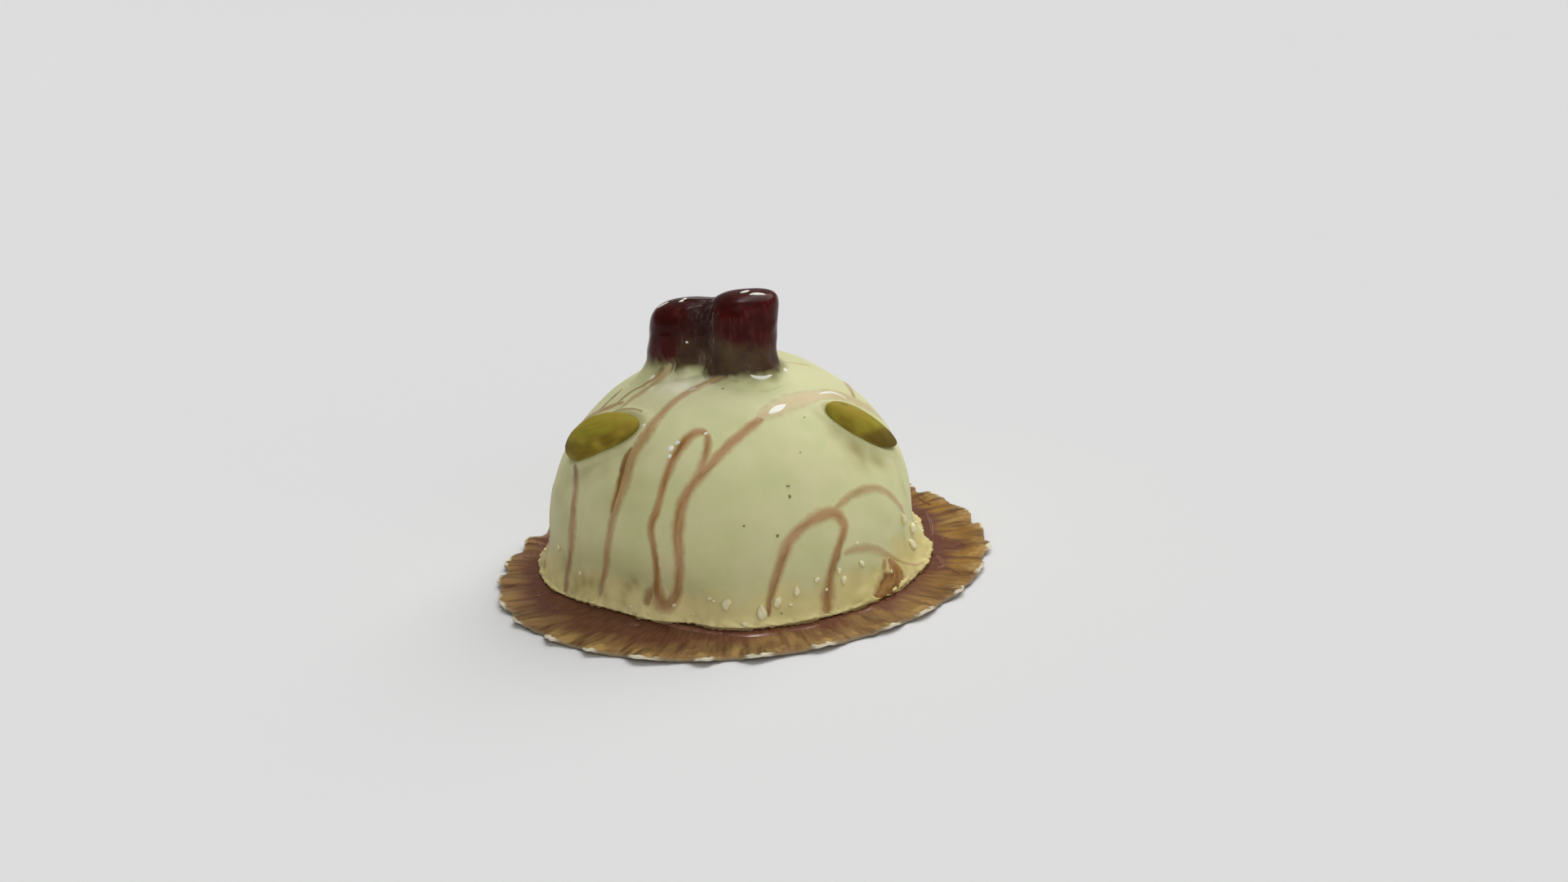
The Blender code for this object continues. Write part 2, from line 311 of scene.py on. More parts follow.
card_azimuths = whole_turn(CARD_STEPS)
round_rim = turned(CARD_RADIUS, card_azimuths, 0.0)
card_radii = np.concatenate((CARD_INNER_RADII, CARD_OUTER_RADII))[:, None]
rim_share = smooth_share(CARD_FLAT_RADIUS, CARD_RADIUS, card_radii)
# The stamping is worn: the flutes stray a little from their even spacing, and some are weak.
strayed = card_azimuths - FIRST_TIP_AZIMUTH + FLUTES_STRAY * unevenness(round_rim, 0.013, 4)
flute = np.cos(SCALLOPS * strayed)
scallop_size = SCALLOP_SIZE + SCALLOP_STRAY * unevenness(round_rim, 0.012, 5)
frayed = bumps(round_rim, FRAYING)
card_reach = card_radii + rim_share * (
    SCALLOP_REACH * np.clip(flute * scallop_size + frayed, -1.0, SCALLOP_MOST)
)
card_under = rim_share * (RIM_LIFT + FLUTE_RISE * np.clip(flute * (0.45 + 0.7 * scallop_size), -1.0, 1.0))
crease_starts = np.random.default_rng(3).uniform(0.0, 2.0 * math.pi, len(CREASE_COUNTS))
creases = sum(
    np.cos(count * card_azimuths + start + card_radii * CREASE_SKEW * math.sin(start))
    for count, start in zip(CREASE_COUNTS, crease_starts)
) / len(CREASE_COUNTS)
thinned = RIM_THINNING * smooth_share(THINNING_START, CARD_RADIUS, card_radii)
creased = smooth_share(CREASES_START, CREASES_WHOLE, card_radii) * CREASE_DEPTH * creases
card_over = card_under + CARD_THICKNESS - thinned + creased
cut_reach = card_reach[-1:] + CUT_PROUD
card_layers = np.concatenate([
    turned(radii, card_azimuths, heights)
    for radii, heights in (
        (card_reach, card_over),
        (cut_reach, card_over[-1:] - CUT_BEVEL),
        (cut_reach, card_under[-1:] + CUT_BEVEL),
        (card_reach[::-4], card_under[::-4]),
    )
])
cut_rings = slice(len(card_radii), len(card_radii) + 2)

card_x, card_y = card_layers[..., 0], card_layers[..., 1]
from_cake = np.hypot(card_x - CAKE_CENTRE[0], card_y - CAKE_CENTRE[1])
past_foot = from_cake - FOOT_RADIUS + SOAKED_UNEVENNESS * unevenness(card_layers, 0.011, 8)
further_at, further_spread, further = SHADOW_FURTHER
further = 1.0 + further * bell(np.degrees(np.arctan2(card_y, card_x)) - further_at, further_spread)
# Painted shade: the dark syrup ring also stands for the cake's shadow on the card, reaching further out to
# the front left.
soaked = np.exp(-((np.maximum(past_foot, 0.0) / (SOAKED_REACH * further)) ** 1.6))
soaked = np.maximum(soaked, strongest(card_layers[..., :2], DARK_SPOTS))
from_edge = card_reach[-1:] - np.hypot(card_x, card_y)
tip = smooth_share(-0.1, 0.8, flute * (0.5 + scallop_size)) * np.ones_like(from_edge)
fibres = bumps(card_layers, PAPER_FIBRES)
bare = smooth_share(BARE_WIDTH, 0.00005, from_edge + 0.4 * BARE_WIDTH * fibres) * (0.10 + 0.90 * tip)
bare[cut_rings] = tip[cut_rings]
cut = np.zeros_like(bare)
cut[cut_rings] = 1.0
# Painted highlight: the foil is laid more golden in a band just inside the rim, most on the raised flute
# tips, and less at the far left.
gilded = bell(from_edge - HIGHLIGHT_FROM_EDGE, HIGHLIGHT_SPREAD) * (0.35 + 0.65 * tip) + 0.25 * fibres
gilded = gilded * (0.35 + 0.65 * smooth_share(-0.046, -0.034, card_x))
gilded = np.maximum(gilded, strongest(card_layers[..., :2], GOLD_SPOTS))
# Painted light: the foil is laid warmer and more golden towards the right and back, where the light falls.
warm = 0.75 * smooth_share(0.006, 0.040, card_x + 0.4 * card_y)

# Gold foil laid on grey board, stamped and then handled: satin gold-brown, creased outwards,
# with painted highlight making it more golden on the ridges and painted light making it more golden
# to the right, dark red-brown and shinier where it is wet with syrup and where the cake's shadow is
# painted, with dull white paper where the tips have frayed.
gilt_board, tree = new_material("gilt_board")
place = add_node(tree, "TexCoord").outputs["Object"]
across_card = add_node(tree, "VectorMath", {0: place, 1: (1.0, 1.0, 0.0)}, operation="MULTIPLY")
outwards = add_node(tree, "VectorMath", {0: across_card}, operation="NORMALIZE")
on_rim = add_node(tree, "VectorMath", {0: outwards, "Scale": CARD_RADIUS}, operation="SCALE")
along = add_node(tree, "VectorMath", {0: across_card, "Scale": SPOKE_STRETCH}, operation="SCALE")
spoke_place = add_node(tree, "VectorMath", {0: on_rim, 1: along}, operation="ADD")
spokes, fine_spokes, patches = (
    add_node(tree, "TexNoise", {"Vector": where, "Scale": 1.0 / pitch, "Detail": detail})
    for where, pitch, detail in (
        (spoke_place, SPOKE_PITCH, 4.0), (spoke_place, FINE_SPOKE_PITCH, 3.0), (place, PATCH_PITCH, 3.0),
    )
)
gold_highlight_sum = add_node(tree, "Math", {0: "gilded", 1: spokes}, operation="MULTIPLY", use_clamp=True)
streaky = add_node(tree, "Math", {0: spokes, 1: -0.5, 2: 0.25}, operation="MULTIPLY_ADD")
soak_and_shade_sum = add_node(tree, "Math", {0: "soaked", 1: streaky}, operation="ADD")
# Where each coat starts, where it is whole, and how much of it shows there.
patched, gold_and_highlight, darkened, soak_and_shade_share, finely = (
    add_node(tree, "MapRange", {"Value": value, "From Min": start, "From Max": whole, "To Max": most})
    for value, start, whole, most in (
        (patches, 0.34, 0.66, 1.0), (gold_highlight_sum, 0.10, 0.50, 1.0), (spokes, 0.56, 0.38, 0.72),
        (soak_and_shade_sum, 0.20, 0.72, 1.0), (fine_spokes, 0.40, 0.80, 0.30),
    )
)
card_colour = linear(FOIL_BROWN)
for share, coat in (
    (patched, FOIL_TAN), ("warm", FOIL_LIT_SIDE), (gold_and_highlight, FOIL_GOLD), (darkened, FOIL_DARK),
    (soak_and_shade_share, SYRUP_STAIN_AND_SHADE), (finely, FOIL_GOLD), ("cut", CUT_BOARD), ("bare", BARE_PAPER),
):
    card_colour = add_node(tree, "Mix", {0: share, 6: card_colour, 7: linear(coat)}, data_type="RGBA")
card_surface = add_node(tree, "BsdfPrincipled", {
    "Base Color": card_colour,
    "Metallic": add_node(tree, "MapRange", {"Value": "bare", "To Min": 0.20, "To Max": 0.0}),
    "Roughness": add_node(tree, "MapRange", {"Value": soak_and_shade_share, "To Min": 0.50, "To Max": 0.30}),
    "IOR": 1.22,
    "Normal": add_node(tree, "Bump", {"Height": spokes, "Strength": 0.5, "Distance": 0.00018}),
})
add_node(tree, "OutputMaterial", {"Surface": card_surface})

card_points, card_faces = ring_faces(card_layers)
card_notes = ring_notes(soaked=soaked, bare=bare, gilded=gilded, warm=warm, cut=cut)
gilt_card = new_piece("gilt_fluted_card", card_points, card_faces, gilt_board, card_notes)
gilt_card.data.set_sharp_from_angle(angle=SHARP_EDGE)
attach(gilt_card, "root")
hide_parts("gilt_card")
card_skin = BVHTree.FromPolygons(card_points.tolist(), card_faces)


# ---- the glazed cake
# A mousse dome turned out of its mould and poured over with an opaque pistachio glaze, which
# ran down and gathered in a thicker skirt at the foot, where the gold card's reflection is painted
# in yellow. Each nut sits in a soft dip.

CAKE_FLOOR = 0.0011
GLAZE_BOTTOM = 0.00025  # the visible glaze reaches down to the card
MOULD_RADIUS = 0.0373
BASE_HEIGHT = 0.0080
DOME_RISE = 0.0346
DOME_FULLNESS = 0.53
SKIRT_SPREAD = 0.0032
SKIRT_HEIGHT = 0.0034
SKIRT_CURVE = 1.3
FOOT_TUCKS = (  # the glaze's turn under the foot: how far in, how high over the cake's floor
    (0.0, 0.0001), (0.0002, -0.0001), (0.0010, -GLAZE_BOTTOM), (0.0040, -GLAZE_BOTTOM),
)
FOOT_SWELLS = (
    # azimuth of the middle, spread in degrees, how far the side stands out, height it fades over
    (-132.7, 27.8, -0.0049, 0.014),
    (-51.7, 30.3, 0.0014, 0.012),
    (-104.9, 8.6, -0.0018, 0.006),
    (-1.0, 13.0, -0.0016, 0.010),
    (168.0, 12.0, 0.0009, 0.008),
)
CAKE_STEPS = 576
DOME_RINGS = 132
BASE_RINGS = 36
GLAZE_BUMPS = ((0.00012, 0.016, 11), (0.00003, 0.005, 12))
FOOT_BUMPS = ((0.00036, 0.010, 13), (0.00022, 0.0030, 14))
FOOT_BUMPS_FADE = 0.0030  # the height that they fade over
BEAD_HEIGHT = 0.00030  # the glaze's uneven bead along the card
BEAD_REACH = 0.0006
BEAD_BUMPS = ((0.00032, 0.0014, 15),)
REFLECTION_EDGE = 0.0042  # how high the painted reflection of the gold card reaches up the foot
REFLECTION_EDGE_LOW = (-0.09, 0.26, 0.0024)  # azimuth and spread in radians, how much lower there
REFLECTION_ARCH = 0.0012
REFLECTION_EDGE_BUMPS = ((0.0012, 0.012, 21), (0.0005, 0.003, 22))
LIGHTER_LEFT = (-122.0, 52.0)  # azimuth and spread in degrees of where the edge is palest and the foot is painted lighter
CLOUD_PITCH = 0.008
RIPPLE_PITCH = 0.0026
GLAZE_CREAM = "#dedaa8"
GLAZE_GREEN = "#d5d79f"
GLAZE_SHEEN_WHITE = "#fbf8d8"
CHERRY_SHADE_TINT = "#8b8456"
REFLECTED_GOLD_TAN = "#dccb8d"
REFLECTED_GOLD_YELLOW = "#cabf72"
OLIVE_SHADE_TONE = "#a5944f"
LIP_AND_LIGHT_CREAM = "#fff0ae"

# Folds and hollows in the glaze where it dragged against the nuts: photo pixels along the
# middle, then how far each reaches to the side and how high it stands, in millimetres.
GLAZE_FOLDS = (
    (((746, 506), (756, 502), (768, 500), (780, 501), (789, 504)), 0.6, 0.16),
    (((1088, 545), (1094, 556), (1099, 572), (1104, 590), (1110, 604)), 1.1, 0.55),
    (((1016, 524), (1034, 540), (1052, 551), (1068, 561), (1080, 574)), 2.8, -0.60),
    (((700, 690), (698, 660), (699, 630), (702, 606)), 1.2, 0.18),
    (((1112, 606), (1114, 622), (1117, 646), (1126, 668), (1133, 684)), 0.7, 0.26),
    (((1103, 606), (1105, 630), (1108, 652), (1114, 674)), 0.8, 0.22),
)
# Darker olive spots on the glaze, partly olive stains and partly painted shade under the nuts and
# down the left side: photo pixels, reach in millimetres, strength.
OLIVE_SHADE_SPOTS = (
    (700, 722, 1.6, 0.6), (706, 716, 1.9, 0.8), (714, 712, 1.8, 0.7), (724, 714, 1.7, 0.75),
    (733, 719, 1.7, 0.75), (739, 728, 1.2, 0.5), (718, 727, 2.2, 0.4), (690, 690, 2.4, 0.4),
    (764, 738, 1.4, 0.5), (765, 728, 1.5, 0.55), (769, 719, 1.6, 0.6), (777, 713, 1.5, 0.5),
    (1086, 640, 1.4, 0.12), (1050, 722, 4.2, 0.42), (1060, 700, 3.0, 0.26), (985, 744, 4.0, 0.26),
    (1014, 726, 2.4, 0.36), (782, 462, 2.0, 0.25), (1100, 566, 2.2, 0.22), (1120, 696, 4.0, 0.35),
    (1052, 553, 3.4, 0.55), (1074, 562, 3.0, 0.5), (778, 600, 5.0, 0.22), (745, 612, 4.0, 0.18),
    (1026, 530, 2.0, 0.22), (688, 600, 4.5, 0.3), (694, 645, 4.0, 0.22), (720, 574, 3.4, 0.26),
    (740, 567, 3.4, 0.26), (760, 558, 3.0, 0.26), (786, 560, 2.6, 0.2), (1128, 652, 3.6, 0.3),
)
# Painted sheen: pale spots where the glaze round the foot of the left cherry catches the light, in the same
# way.
PAINTED_SHEEN_SPOTS = (
    (802, 473, 1.8, 0.6), (815, 473, 2.4, 0.9), (828, 474, 2.8, 0.9), (842, 470, 2.6, 0.8),
    (857, 466, 2.2, 0.7), (870, 462, 1.6, 0.5),
)
# Where shade is painted on the glaze round the cherries' feet: its middle and how far it reaches.
CHERRY_SHADE_PATCHES = ((0.0030, -0.0038, 0.0083), (-0.0082, 0.0010, 0.0070))

PISTACHIOS = (
    # name, azimuth, latitude, turn out of the level, length, width, bow, painted shade on the low side
    ("pistachio_left", -149.5, 42.8, 34.0, 0.0193, 0.0090, -0.12, 0.0),
    ("pistachio_right", -26.4, 35.4, -49.0, 0.0191, 0.0067, 0.16, 0.6491),
    ("pistachio_back", 93.0, 38.0, 24.0, 0.0185, 0.0088, 0.08, 0.0),
)
KERNEL_PROUD = 0.0001
NUT_DEPTH = 0.012  # off the dome, as far as its dip reaches
NUT_COLLAR = (1.10, 0.17, 0.00042)  # middle and spread over the nut's half width, height
NUT_DIP = 0.0009


def dome_point(latitude):
    """(radius, height above the cake's floor) of the dome at a latitude in radians."""
    radius = MOULD_RADIUS * np.cos(latitude) ** (2.0 * DOME_FULLNESS)
    return radius, BASE_HEIGHT + DOME_RISE * np.sin(latitude)


def skirt(height):
    """How far the gathered glaze stands out from the side at a height."""
    return SKIRT_SPREAD * np.exp(-((np.maximum(height, 0.0) / SKIRT_HEIGHT) ** SKIRT_CURVE))


def swell(azimuth, height):
    """How far the side stands out of round at an azimuth and a height."""
    total = 0.0
    for middle, spread, stands_out, fade in FOOT_SWELLS:
        apart = (np.degrees(azimuth) - middle + 180.0) % 360.0 - 180.0
        total = total + stands_out * bell(apart, spread) * bell(height, fade)
    return total


def nut_place(azimuth, latitude, turn):
    """A nut's matrix: its Z stands off the dome, its X lies level and is then turned."""
    around, up = math.radians(azimuth), math.radians(latitude)
    radius, height = dome_point(up)
    higher_radius, higher_height = dome_point(up + 0.01)
    slope = math.atan2(radius - higher_radius, higher_height - height)
    side = Vector((math.cos(around), math.sin(around), 0.0))
    level = Vector((-math.sin(around), math.cos(around), 0.0))
    outward = side * math.cos(slope) + Vector((0.0, 0.0, math.sin(slope)))
    axes = Matrix((level, outward.cross(level), outward)).transposed()
    centre = Vector((*CAKE_CENTRE, CAKE_FLOOR + height)) + side * radius + outward * KERNEL_PROUD
    return Matrix.Translation(centre) @ axes.to_4x4() @ Matrix.Rotation(math.radians(turn), 4, "Z")


def in_place(points, matrix):
    """Points moved by a matrix, or into its own axes when given its inverse."""
    moved = np.array(matrix)
    return np.asarray(points) @ moved[:3, :3].T + moved[:3, 3]


def seen_on(skin, across, down):
    """The point of a skin that a photo pixel shows, or the nearest one where it just misses."""
    pixel = SENSOR_WIDTH / PHOTO_WIDTH / LENS
    aim = Vector(((across - PHOTO_WIDTH / 2) * pixel, (PHOTO_HEIGHT / 2 - down) * pixel, -1.0))
    start, way = camera_place.translation, (camera_place.to_3x3() @ aim).normalized()
    found = skin.ray_cast(start, way)[0]
    if found is not None:
        return found
    beside = [start + way * (CAMERA_DISTANCE + step * 0.002) for step in range(-30, 31)]
    return min((skin.find_nearest(point) for point in beside), key=lambda hit: hit[3])[0]


def smooth_run(stops, spacing):
    """Stops joined by one smooth curve that passes through all of them; extra columns go along."""
    stops = np.asarray(stops, float)
    led = np.vstack((2.0 * stops[0] - stops[1], stops, 2.0 * stops[-1] - stops[-2]))
    run = []
    for before, start, end, after in zip(led[:-3], led[1:-2], led[2:-1], led[3:]):
        count = max(2, round(np.linalg.norm((end - start)[:3]) / spacing))
        t = np.arange(count)[:, None] / count
        curve = 2.0 * start + (end - before) * t
        curve = curve + (2.0 * before - 5.0 * start + 4.0 * end - after) * t**2
        run.append(0.5 * (curve + (3.0 * start - before - 3.0 * end + after) * t**3))
    return np.vstack((*run, stops[-1:]))


latitudes = np.radians(90.0 * (1.0 - (np.arange(1, DOME_RINGS + 1) / DOME_RINGS)))
dome_radii, dome_heights = dome_point(latitudes)
base_heights = BASE_HEIGHT * (1.0 - np.arange(1, BASE_RINGS) / BASE_RINGS) ** 1.5
profile_heights = np.concatenate((dome_heights, base_heights))
profile_radii = np.append(dome_radii, np.full(BASE_RINGS - 1, MOULD_RADIUS)) + skirt(profile_heights)
tucked_in, tucked_down = np.array(FOOT_TUCKS).T
profile_radii = np.append(profile_radii, MOULD_RADIUS + SKIRT_SPREAD - tucked_in)[:, None]
profile_heights = np.append(profile_heights, tucked_down)[:, None]
cake_azimuths = whole_turn(CAKE_STEPS)
grown = 1.0 + swell(cake_azimuths, np.maximum(profile_heights, 0.0)) / MOULD_RADIUS
plain_rings = turned(profile_radii * grown, cake_azimuths, profile_heights) + (*CAKE_CENTRE, CAKE_FLOOR)
plain_points, plain_faces = ring_faces(plain_rings)
plain_skin = BVHTree.FromPolygons(plain_points.tolist(), plain_faces)

round_way = np.roll(plain_rings, -1, axis=1) - np.roll(plain_rings, 1, axis=1)
glaze_normals = np.cross(np.gradient(plain_rings, axis=0), round_way)
glaze_normals /= np.linalg.norm(glaze_normals, axis=-1, keepdims=True) + 1e-12
above_floor = np.maximum(plain_rings[..., 2] - CAKE_FLOOR, 0.0)
lift = bumps(plain_rings, GLAZE_BUMPS)
lift += np.exp(-above_floor / FOOT_BUMPS_FADE) * bumps(plain_rings, FOOT_BUMPS)
lift += bell(above_floor, BEAD_REACH) * (BEAD_HEIGHT + bumps(plain_rings, BEAD_BUMPS))
nut_rim_shade = np.zeros(lift.shape)
for _, *nut_pose, length, width, bow, _ in PISTACHIOS:
    own = in_place(plain_rings, nut_place(*nut_pose).inverted())
    lengthwise = own[..., 0] / (length / 2.0)
    apart = np.hypot(lengthwise, (own[..., 1] - bow * lengthwise**2 * width / 2.0) / (width / 2.0))
    apart = np.where(np.abs(own[..., 2]) < NUT_DEPTH, apart, 9.0)
    collar_at, collar_spread, collar_height = NUT_COLLAR
    lift += collar_height * bell(apart - collar_at, collar_spread)
    lift -= NUT_DIP * smooth_share(0.92, 0.65, apart)
    nut_rim_shade = np.maximum(nut_rim_shade, bell(apart - 0.98, 0.14))
for stops, reach, height in GLAZE_FOLDS:
    middle = smooth_run([seen_on(plain_skin, *stop) for stop in stops], 0.0010)
    taper = np.sin(np.linspace(0.25, math.pi - 0.25, len(middle)))
    fold = [(*spot, reach / 1000.0, share) for spot, share in zip(middle, taper)]
    lift += height / 1000.0 * strongest(plain_rings, fold)
lift *= smooth_share(-0.0003, 0.0003, plain_rings[..., 2] - CAKE_FLOOR)
cake_rings = plain_rings + glaze_normals * lift[..., None]
olive_shade_spots, sheen_spots = (
    [(*seen_on(plain_skin, *spot[:2]), spot[2] / 1000.0, spot[3]) for spot in spots]
    for spots in (OLIVE_SHADE_SPOTS, PAINTED_SHEEN_SPOTS)
)


def from_floor(points):
    """Each point's height over the cake's floor and its azimuth about the cake's middle."""
    x, y, z = np.moveaxis(points - np.array((*CAKE_CENTRE, CAKE_FLOOR)), -1, 0)
    return z, np.arctan2(y, x)


def card_reflection_share(points):
    """How much painted reflection of the gold card shows on the glaze at a point; its upper edge runs in
    low arches.
    """
    height, azimuth = from_floor(points)
    low_at, low_spread, lower = REFLECTION_EDGE_LOW
    edge = REFLECTION_EDGE - lower * bell(azimuth - low_at, low_spread) + bumps(points, REFLECTION_EDGE_BUMPS)
    edge += REFLECTION_ARCH * np.abs(np.sin(11.0 * azimuth + 1.6 * np.sin(3.0 * azimuth)))
    return smooth_share(edge + 0.0034, edge - 0.0026, height)


def spot_share(points, spots):
    """How strongly a set of spots colours the glaze at a point."""
    return strongest(points, spots) * (1.0 + 0.35 * unevenness(points, 0.0045, 24))


def cherry_shade_share(points):
    """How far painted shade tints the glaze round the cherries' feet at a point."""
    apart = [np.hypot(points[..., 0] - x, points[..., 1] - y) - reach for x, y, reach in CHERRY_SHADE_PATCHES]
    return smooth_share(0.0016, -0.0010, np.minimum(*apart) + 0.0003 * unevenness(points, 0.005, 25))


def lip_and_light_share(points):
    """Where the glaze's thin bottom edge is pale, most of all at the left of the front, where the foot is
    painted lighter too.
    """
    height, azimuth = from_floor(points)
    left = bell(np.degrees(azimuth) - LIGHTER_LEFT[0], LIGHTER_LEFT[1])
    edge = 0.0004 + 0.0011 * left + 0.0004 * (1.0 + left) * unevenness(points, 0.0034, 23)
    lip = smooth_share(edge + 0.0006, edge - 0.0005, height) * (0.20 + 0.75 * left)
    # Painted light: the whole foot at the front left is laid paler, where it would catch the light.
    return np.maximum(lip, 0.80 * left * card_reflection_share(points))


def glaze_notes(points):
    """The notes that the glaze's colour reads, for any piece that the glaze runs on to."""
    # Painted shade: the lower walls towards the left are laid yellower, as for the warm shade there.
    wall_shade = 0.24 * smooth_share(0.036, 0.010, points[:, 2]) * smooth_share(0.030, -0.010, points[:, 0])
    olive = spot_share(points, olive_shade_spots)
    return {
        "foot": np.maximum(card_reflection_share(points), wall_shade),
        "olive": olive,
        "lip": lip_and_light_share(points) * (1.0 - 0.7 * np.clip(olive, 0.0, 1.0)),
        "pale_spot": spot_share(points, sheen_spots),
        "syrup_tint": cherry_shade_share(points),
    }


def glaze_colour(tree):
    """The glaze's colour, which the drizzle and the syrup also fade into at their edges."""
    place = add_node(tree, "TexCoord").outputs["Object"]
    noise_settings = {"Vector": place, "Scale": 1.0 / CLOUD_PITCH, "Detail": 8.0, "Roughness": 0.6}
    clouds = add_node(tree, "TexNoise", noise_settings)
    clouded = add_node(tree, "MapRange", {"Value": clouds, "From Min": 0.36, "From Max": 0.64})
    # Painted reflection: the gold card's yellow-tan glow, laid into the glaze at the foot.
    reflected_gold = {0: clouded, 6: linear(REFLECTED_GOLD_TAN), 7: linear(REFLECTED_GOLD_YELLOW)}
    # Painted light and shade over the glaze's own cream and green: the card's reflection and the lower
    # walls' shade, olive stains with painted shade, a pale lip with painted light at the front left, a
    # painted sheen by the left cherry and painted shade round the cherries' feet.
    colour = linear(GLAZE_CREAM)
    for share, coat in (
        (clouded, linear(GLAZE_GREEN)), ("foot", add_node(tree, "Mix", reflected_gold, data_type="RGBA")),
        ("olive", linear(OLIVE_SHADE_TONE)), ("lip", linear(LIP_AND_LIGHT_CREAM)), ("pale_spot", linear(GLAZE_SHEEN_WHITE)),
        ("syrup_tint", linear(CHERRY_SHADE_TINT)),
    ):
        colour = add_node(tree, "Mix", {0: share, 6: colour, 7: coat}, data_type="RGBA")
    return colour


# Glaze of white chocolate and pistachio paste, set with gelatine: opaque pale green-cream,
# softly shiny, faintly clouded, with a hint of ripple from the pouring.
pistachio_glaze, tree = new_material("pistachio_glaze")
place = add_node(tree, "TexCoord").outputs["Object"]
ripple = add_node(tree, "TexNoise", {"Vector": place, "Scale": 1.0 / RIPPLE_PITCH, "Detail": 4.0})
glaze_surface = add_node(tree, "BsdfPrincipled", {
    "Base Color": glaze_colour(tree),
    "Roughness": add_node(tree, "MapRange", {"Value": ripple, "To Min": 0.46, "To Max": 0.62}),
    "IOR": 1.40,
    "Normal": add_node(tree, "Bump", {"Height": ripple, "Strength": 0.4, "Distance": 0.00012}),
})
add_node(tree, "OutputMaterial", {"Surface": glaze_surface})

cake_points, cake_faces = ring_faces(cake_rings)
cake_notes = glaze_notes(cake_points)
# Painted shade: a darker olive ring round the rim of each nut's dip.
cake_notes["olive"] = np.maximum(cake_notes["olive"], ring_notes(dip=0.20 * nut_rim_shade)["dip"])
glazed_cake = new_piece("glazed_dome_cake", cake_points, cake_faces, pistachio_glaze, cake_notes)
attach(glazed_cake, "root")
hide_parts("cake")
cake_skin = BVHTree.FromPolygons(cake_points.tolist(), cake_faces)


# ---- the cherries
# Two candied cherries pressed into the soft top of the dome side by side. Dark syrup holds
# them, fills the gap between them and runs out in a skirt over the glaze at their feet.

# Each cherry: the place of its middle, half its width, the heights of its top and of its rounded
# cap, how square its shoulder is and how much more so towards the corner's azimuth, how its top
# tilts, its foot flares and its sides lean. Then the heights between which its red turns into the
# syrup's brown, how much higher the red ends on the left, how much syrup shows, and the heights
# between which brown turns into glaze.
CHERRIES = (
    {
        "name": "cherry_right", "place": (0.00343, -0.00426), "half_width": 0.00697,
        "top": 0.0568, "cap": 0.0055, "squareness": 2.79, "corner": 2.10, "corner_azimuth": 0.0,
        "tilt": -0.022, "flare": 0.37, "flare_height": 0.0022, "lean": 0.162,
        "red_from": 0.0488, "red_to": 0.0450, "red_rise": 0.0026, "syrup": 1.0,
        "glaze_from": 0.0426, "glaze_to": 0.0411,
    },
    {
        "name": "cherry_left", "place": (-0.00794, 0.00065), "half_width": 0.00642,
        "top": 0.0551, "cap": 0.0053, "squareness": 3.00, "corner": 1.46, "corner_azimuth": -3.0,
        "tilt": 0.035, "flare": 0.37, "flare_height": 0.0025, "lean": 0.132,
        "red_from": 0.0458, "red_to": 0.0428, "red_rise": 0.0002, "syrup": 0.7,
        "glaze_from": 0.0456, "glaze_to": 0.0424,
    },
)
FILL_FOOT = {  # the syrup between them, as far as it is coloured like them
    "place": (-0.001655, -0.001805), "half_width": 0.0070, "red_from": 0.0505, "red_to": 0.0440,
    "red_rise": 0.0, "syrup": 0.9, "glaze_from": 0.0440, "glaze_to": 0.0416,
}
CORNER_SPREAD = 50.0
CHERRY_SEAT = 0.0400
CHERRY_WIDEST = 0.0390
CHERRY_ROOT = 0.0372
LEAN_FROM = 0.0490
TILT_FROM = 0.0460
TILT_RISE = 0.0060
CHERRY_LOBES = ((2, 0.025, 46.0), (3, 0.015, 0.0))  # how many round, share of the radius, turn
CHERRY_WAIST = (0.0010, 0.0016, 0.00010)  # height over the red's end, spread, depth
CHERRY_DIMPLES = ((0.00014, 0.005, 62),)
CHERRY_WOBBLE = ((0.0007, 0.006, 61), (0.0003, 0.002, 64))  # of the colours' edges at the foot
CHERRY_STEPS = 144
CAP_RINGS = 36
SIDE_RINGS = 48
FILL_TOP = 0.0553
FILL_CAP = 0.0030
FILL_WAIST = 0.0010  # how far the fill is pinched in between the two balls
FILL_WAIST_SPREAD = 0.0026
FILL_INSET = 0.0005
FILL_BUMPS = ((0.00010, 0.0022, 67),)
FILL_CAP_RINGS = 15
FILL_RINGS = 60
GAP_HALF_WIDTH = 0.0036
GAP_SHARPNESS = 2.6
GAP_WOBBLE = ((0.0006, 0.004, 66),)
FLESH_PITCH = 0.0034
BRIGHT_PITCH = 0.0016
BLOOM_PITCH = 0.0007
BLOOM_STRETCH = (1.0, 1.0, 0.16)  # the sugar's threads run upright
CHERRY_RED = "#4b110d"
CHERRY_DEEP = "#370f0b"
CHERRY_BRIGHT = "#641812"
SYRUP_BROWN = "#47342a"
SYRUP_OLIVE = "#58482e"
GAP_SHADE_DARK = "#38201a"
SUGAR_BLOOM = "#8d7b80"

# Candied cherry under syrup: dark red flesh, patchy where the syrup has gone in, softly
# shiny, with painted shade darkening the gap between the two and threads of white sugar bloom
# there, and brown to olive where only syrup shows.
candied_cherry, tree = new_material("candied_cherry")
place = add_node(tree, "TexCoord").outputs["Object"]
upright = add_node(tree, "VectorMath", {0: place, 1: BLOOM_STRETCH}, operation="MULTIPLY")
flesh, bright, bloom = (
    add_node(tree, "TexNoise", {"Vector": where, "Scale": 1.0 / pitch, "Detail": detail})
    for where, pitch, detail in (
        (place, FLESH_PITCH, 4.0), (place, BRIGHT_PITCH, 2.0), (upright, BLOOM_PITCH, 3.0),
    )
)
reddened, brightened, threaded, patched = (
    add_node(tree, "MapRange", {"Value": value, "From Min": start, "From Max": whole, "To Max": most})
    for value, start, whole, most in (
        (flesh, 0.34, 0.64, 1.0), (bright, 0.58, 0.76, 0.5), (bloom, 0.52, 0.74, 0.75),
        (flesh, 0.40, 0.62, 1.0),
    )
)
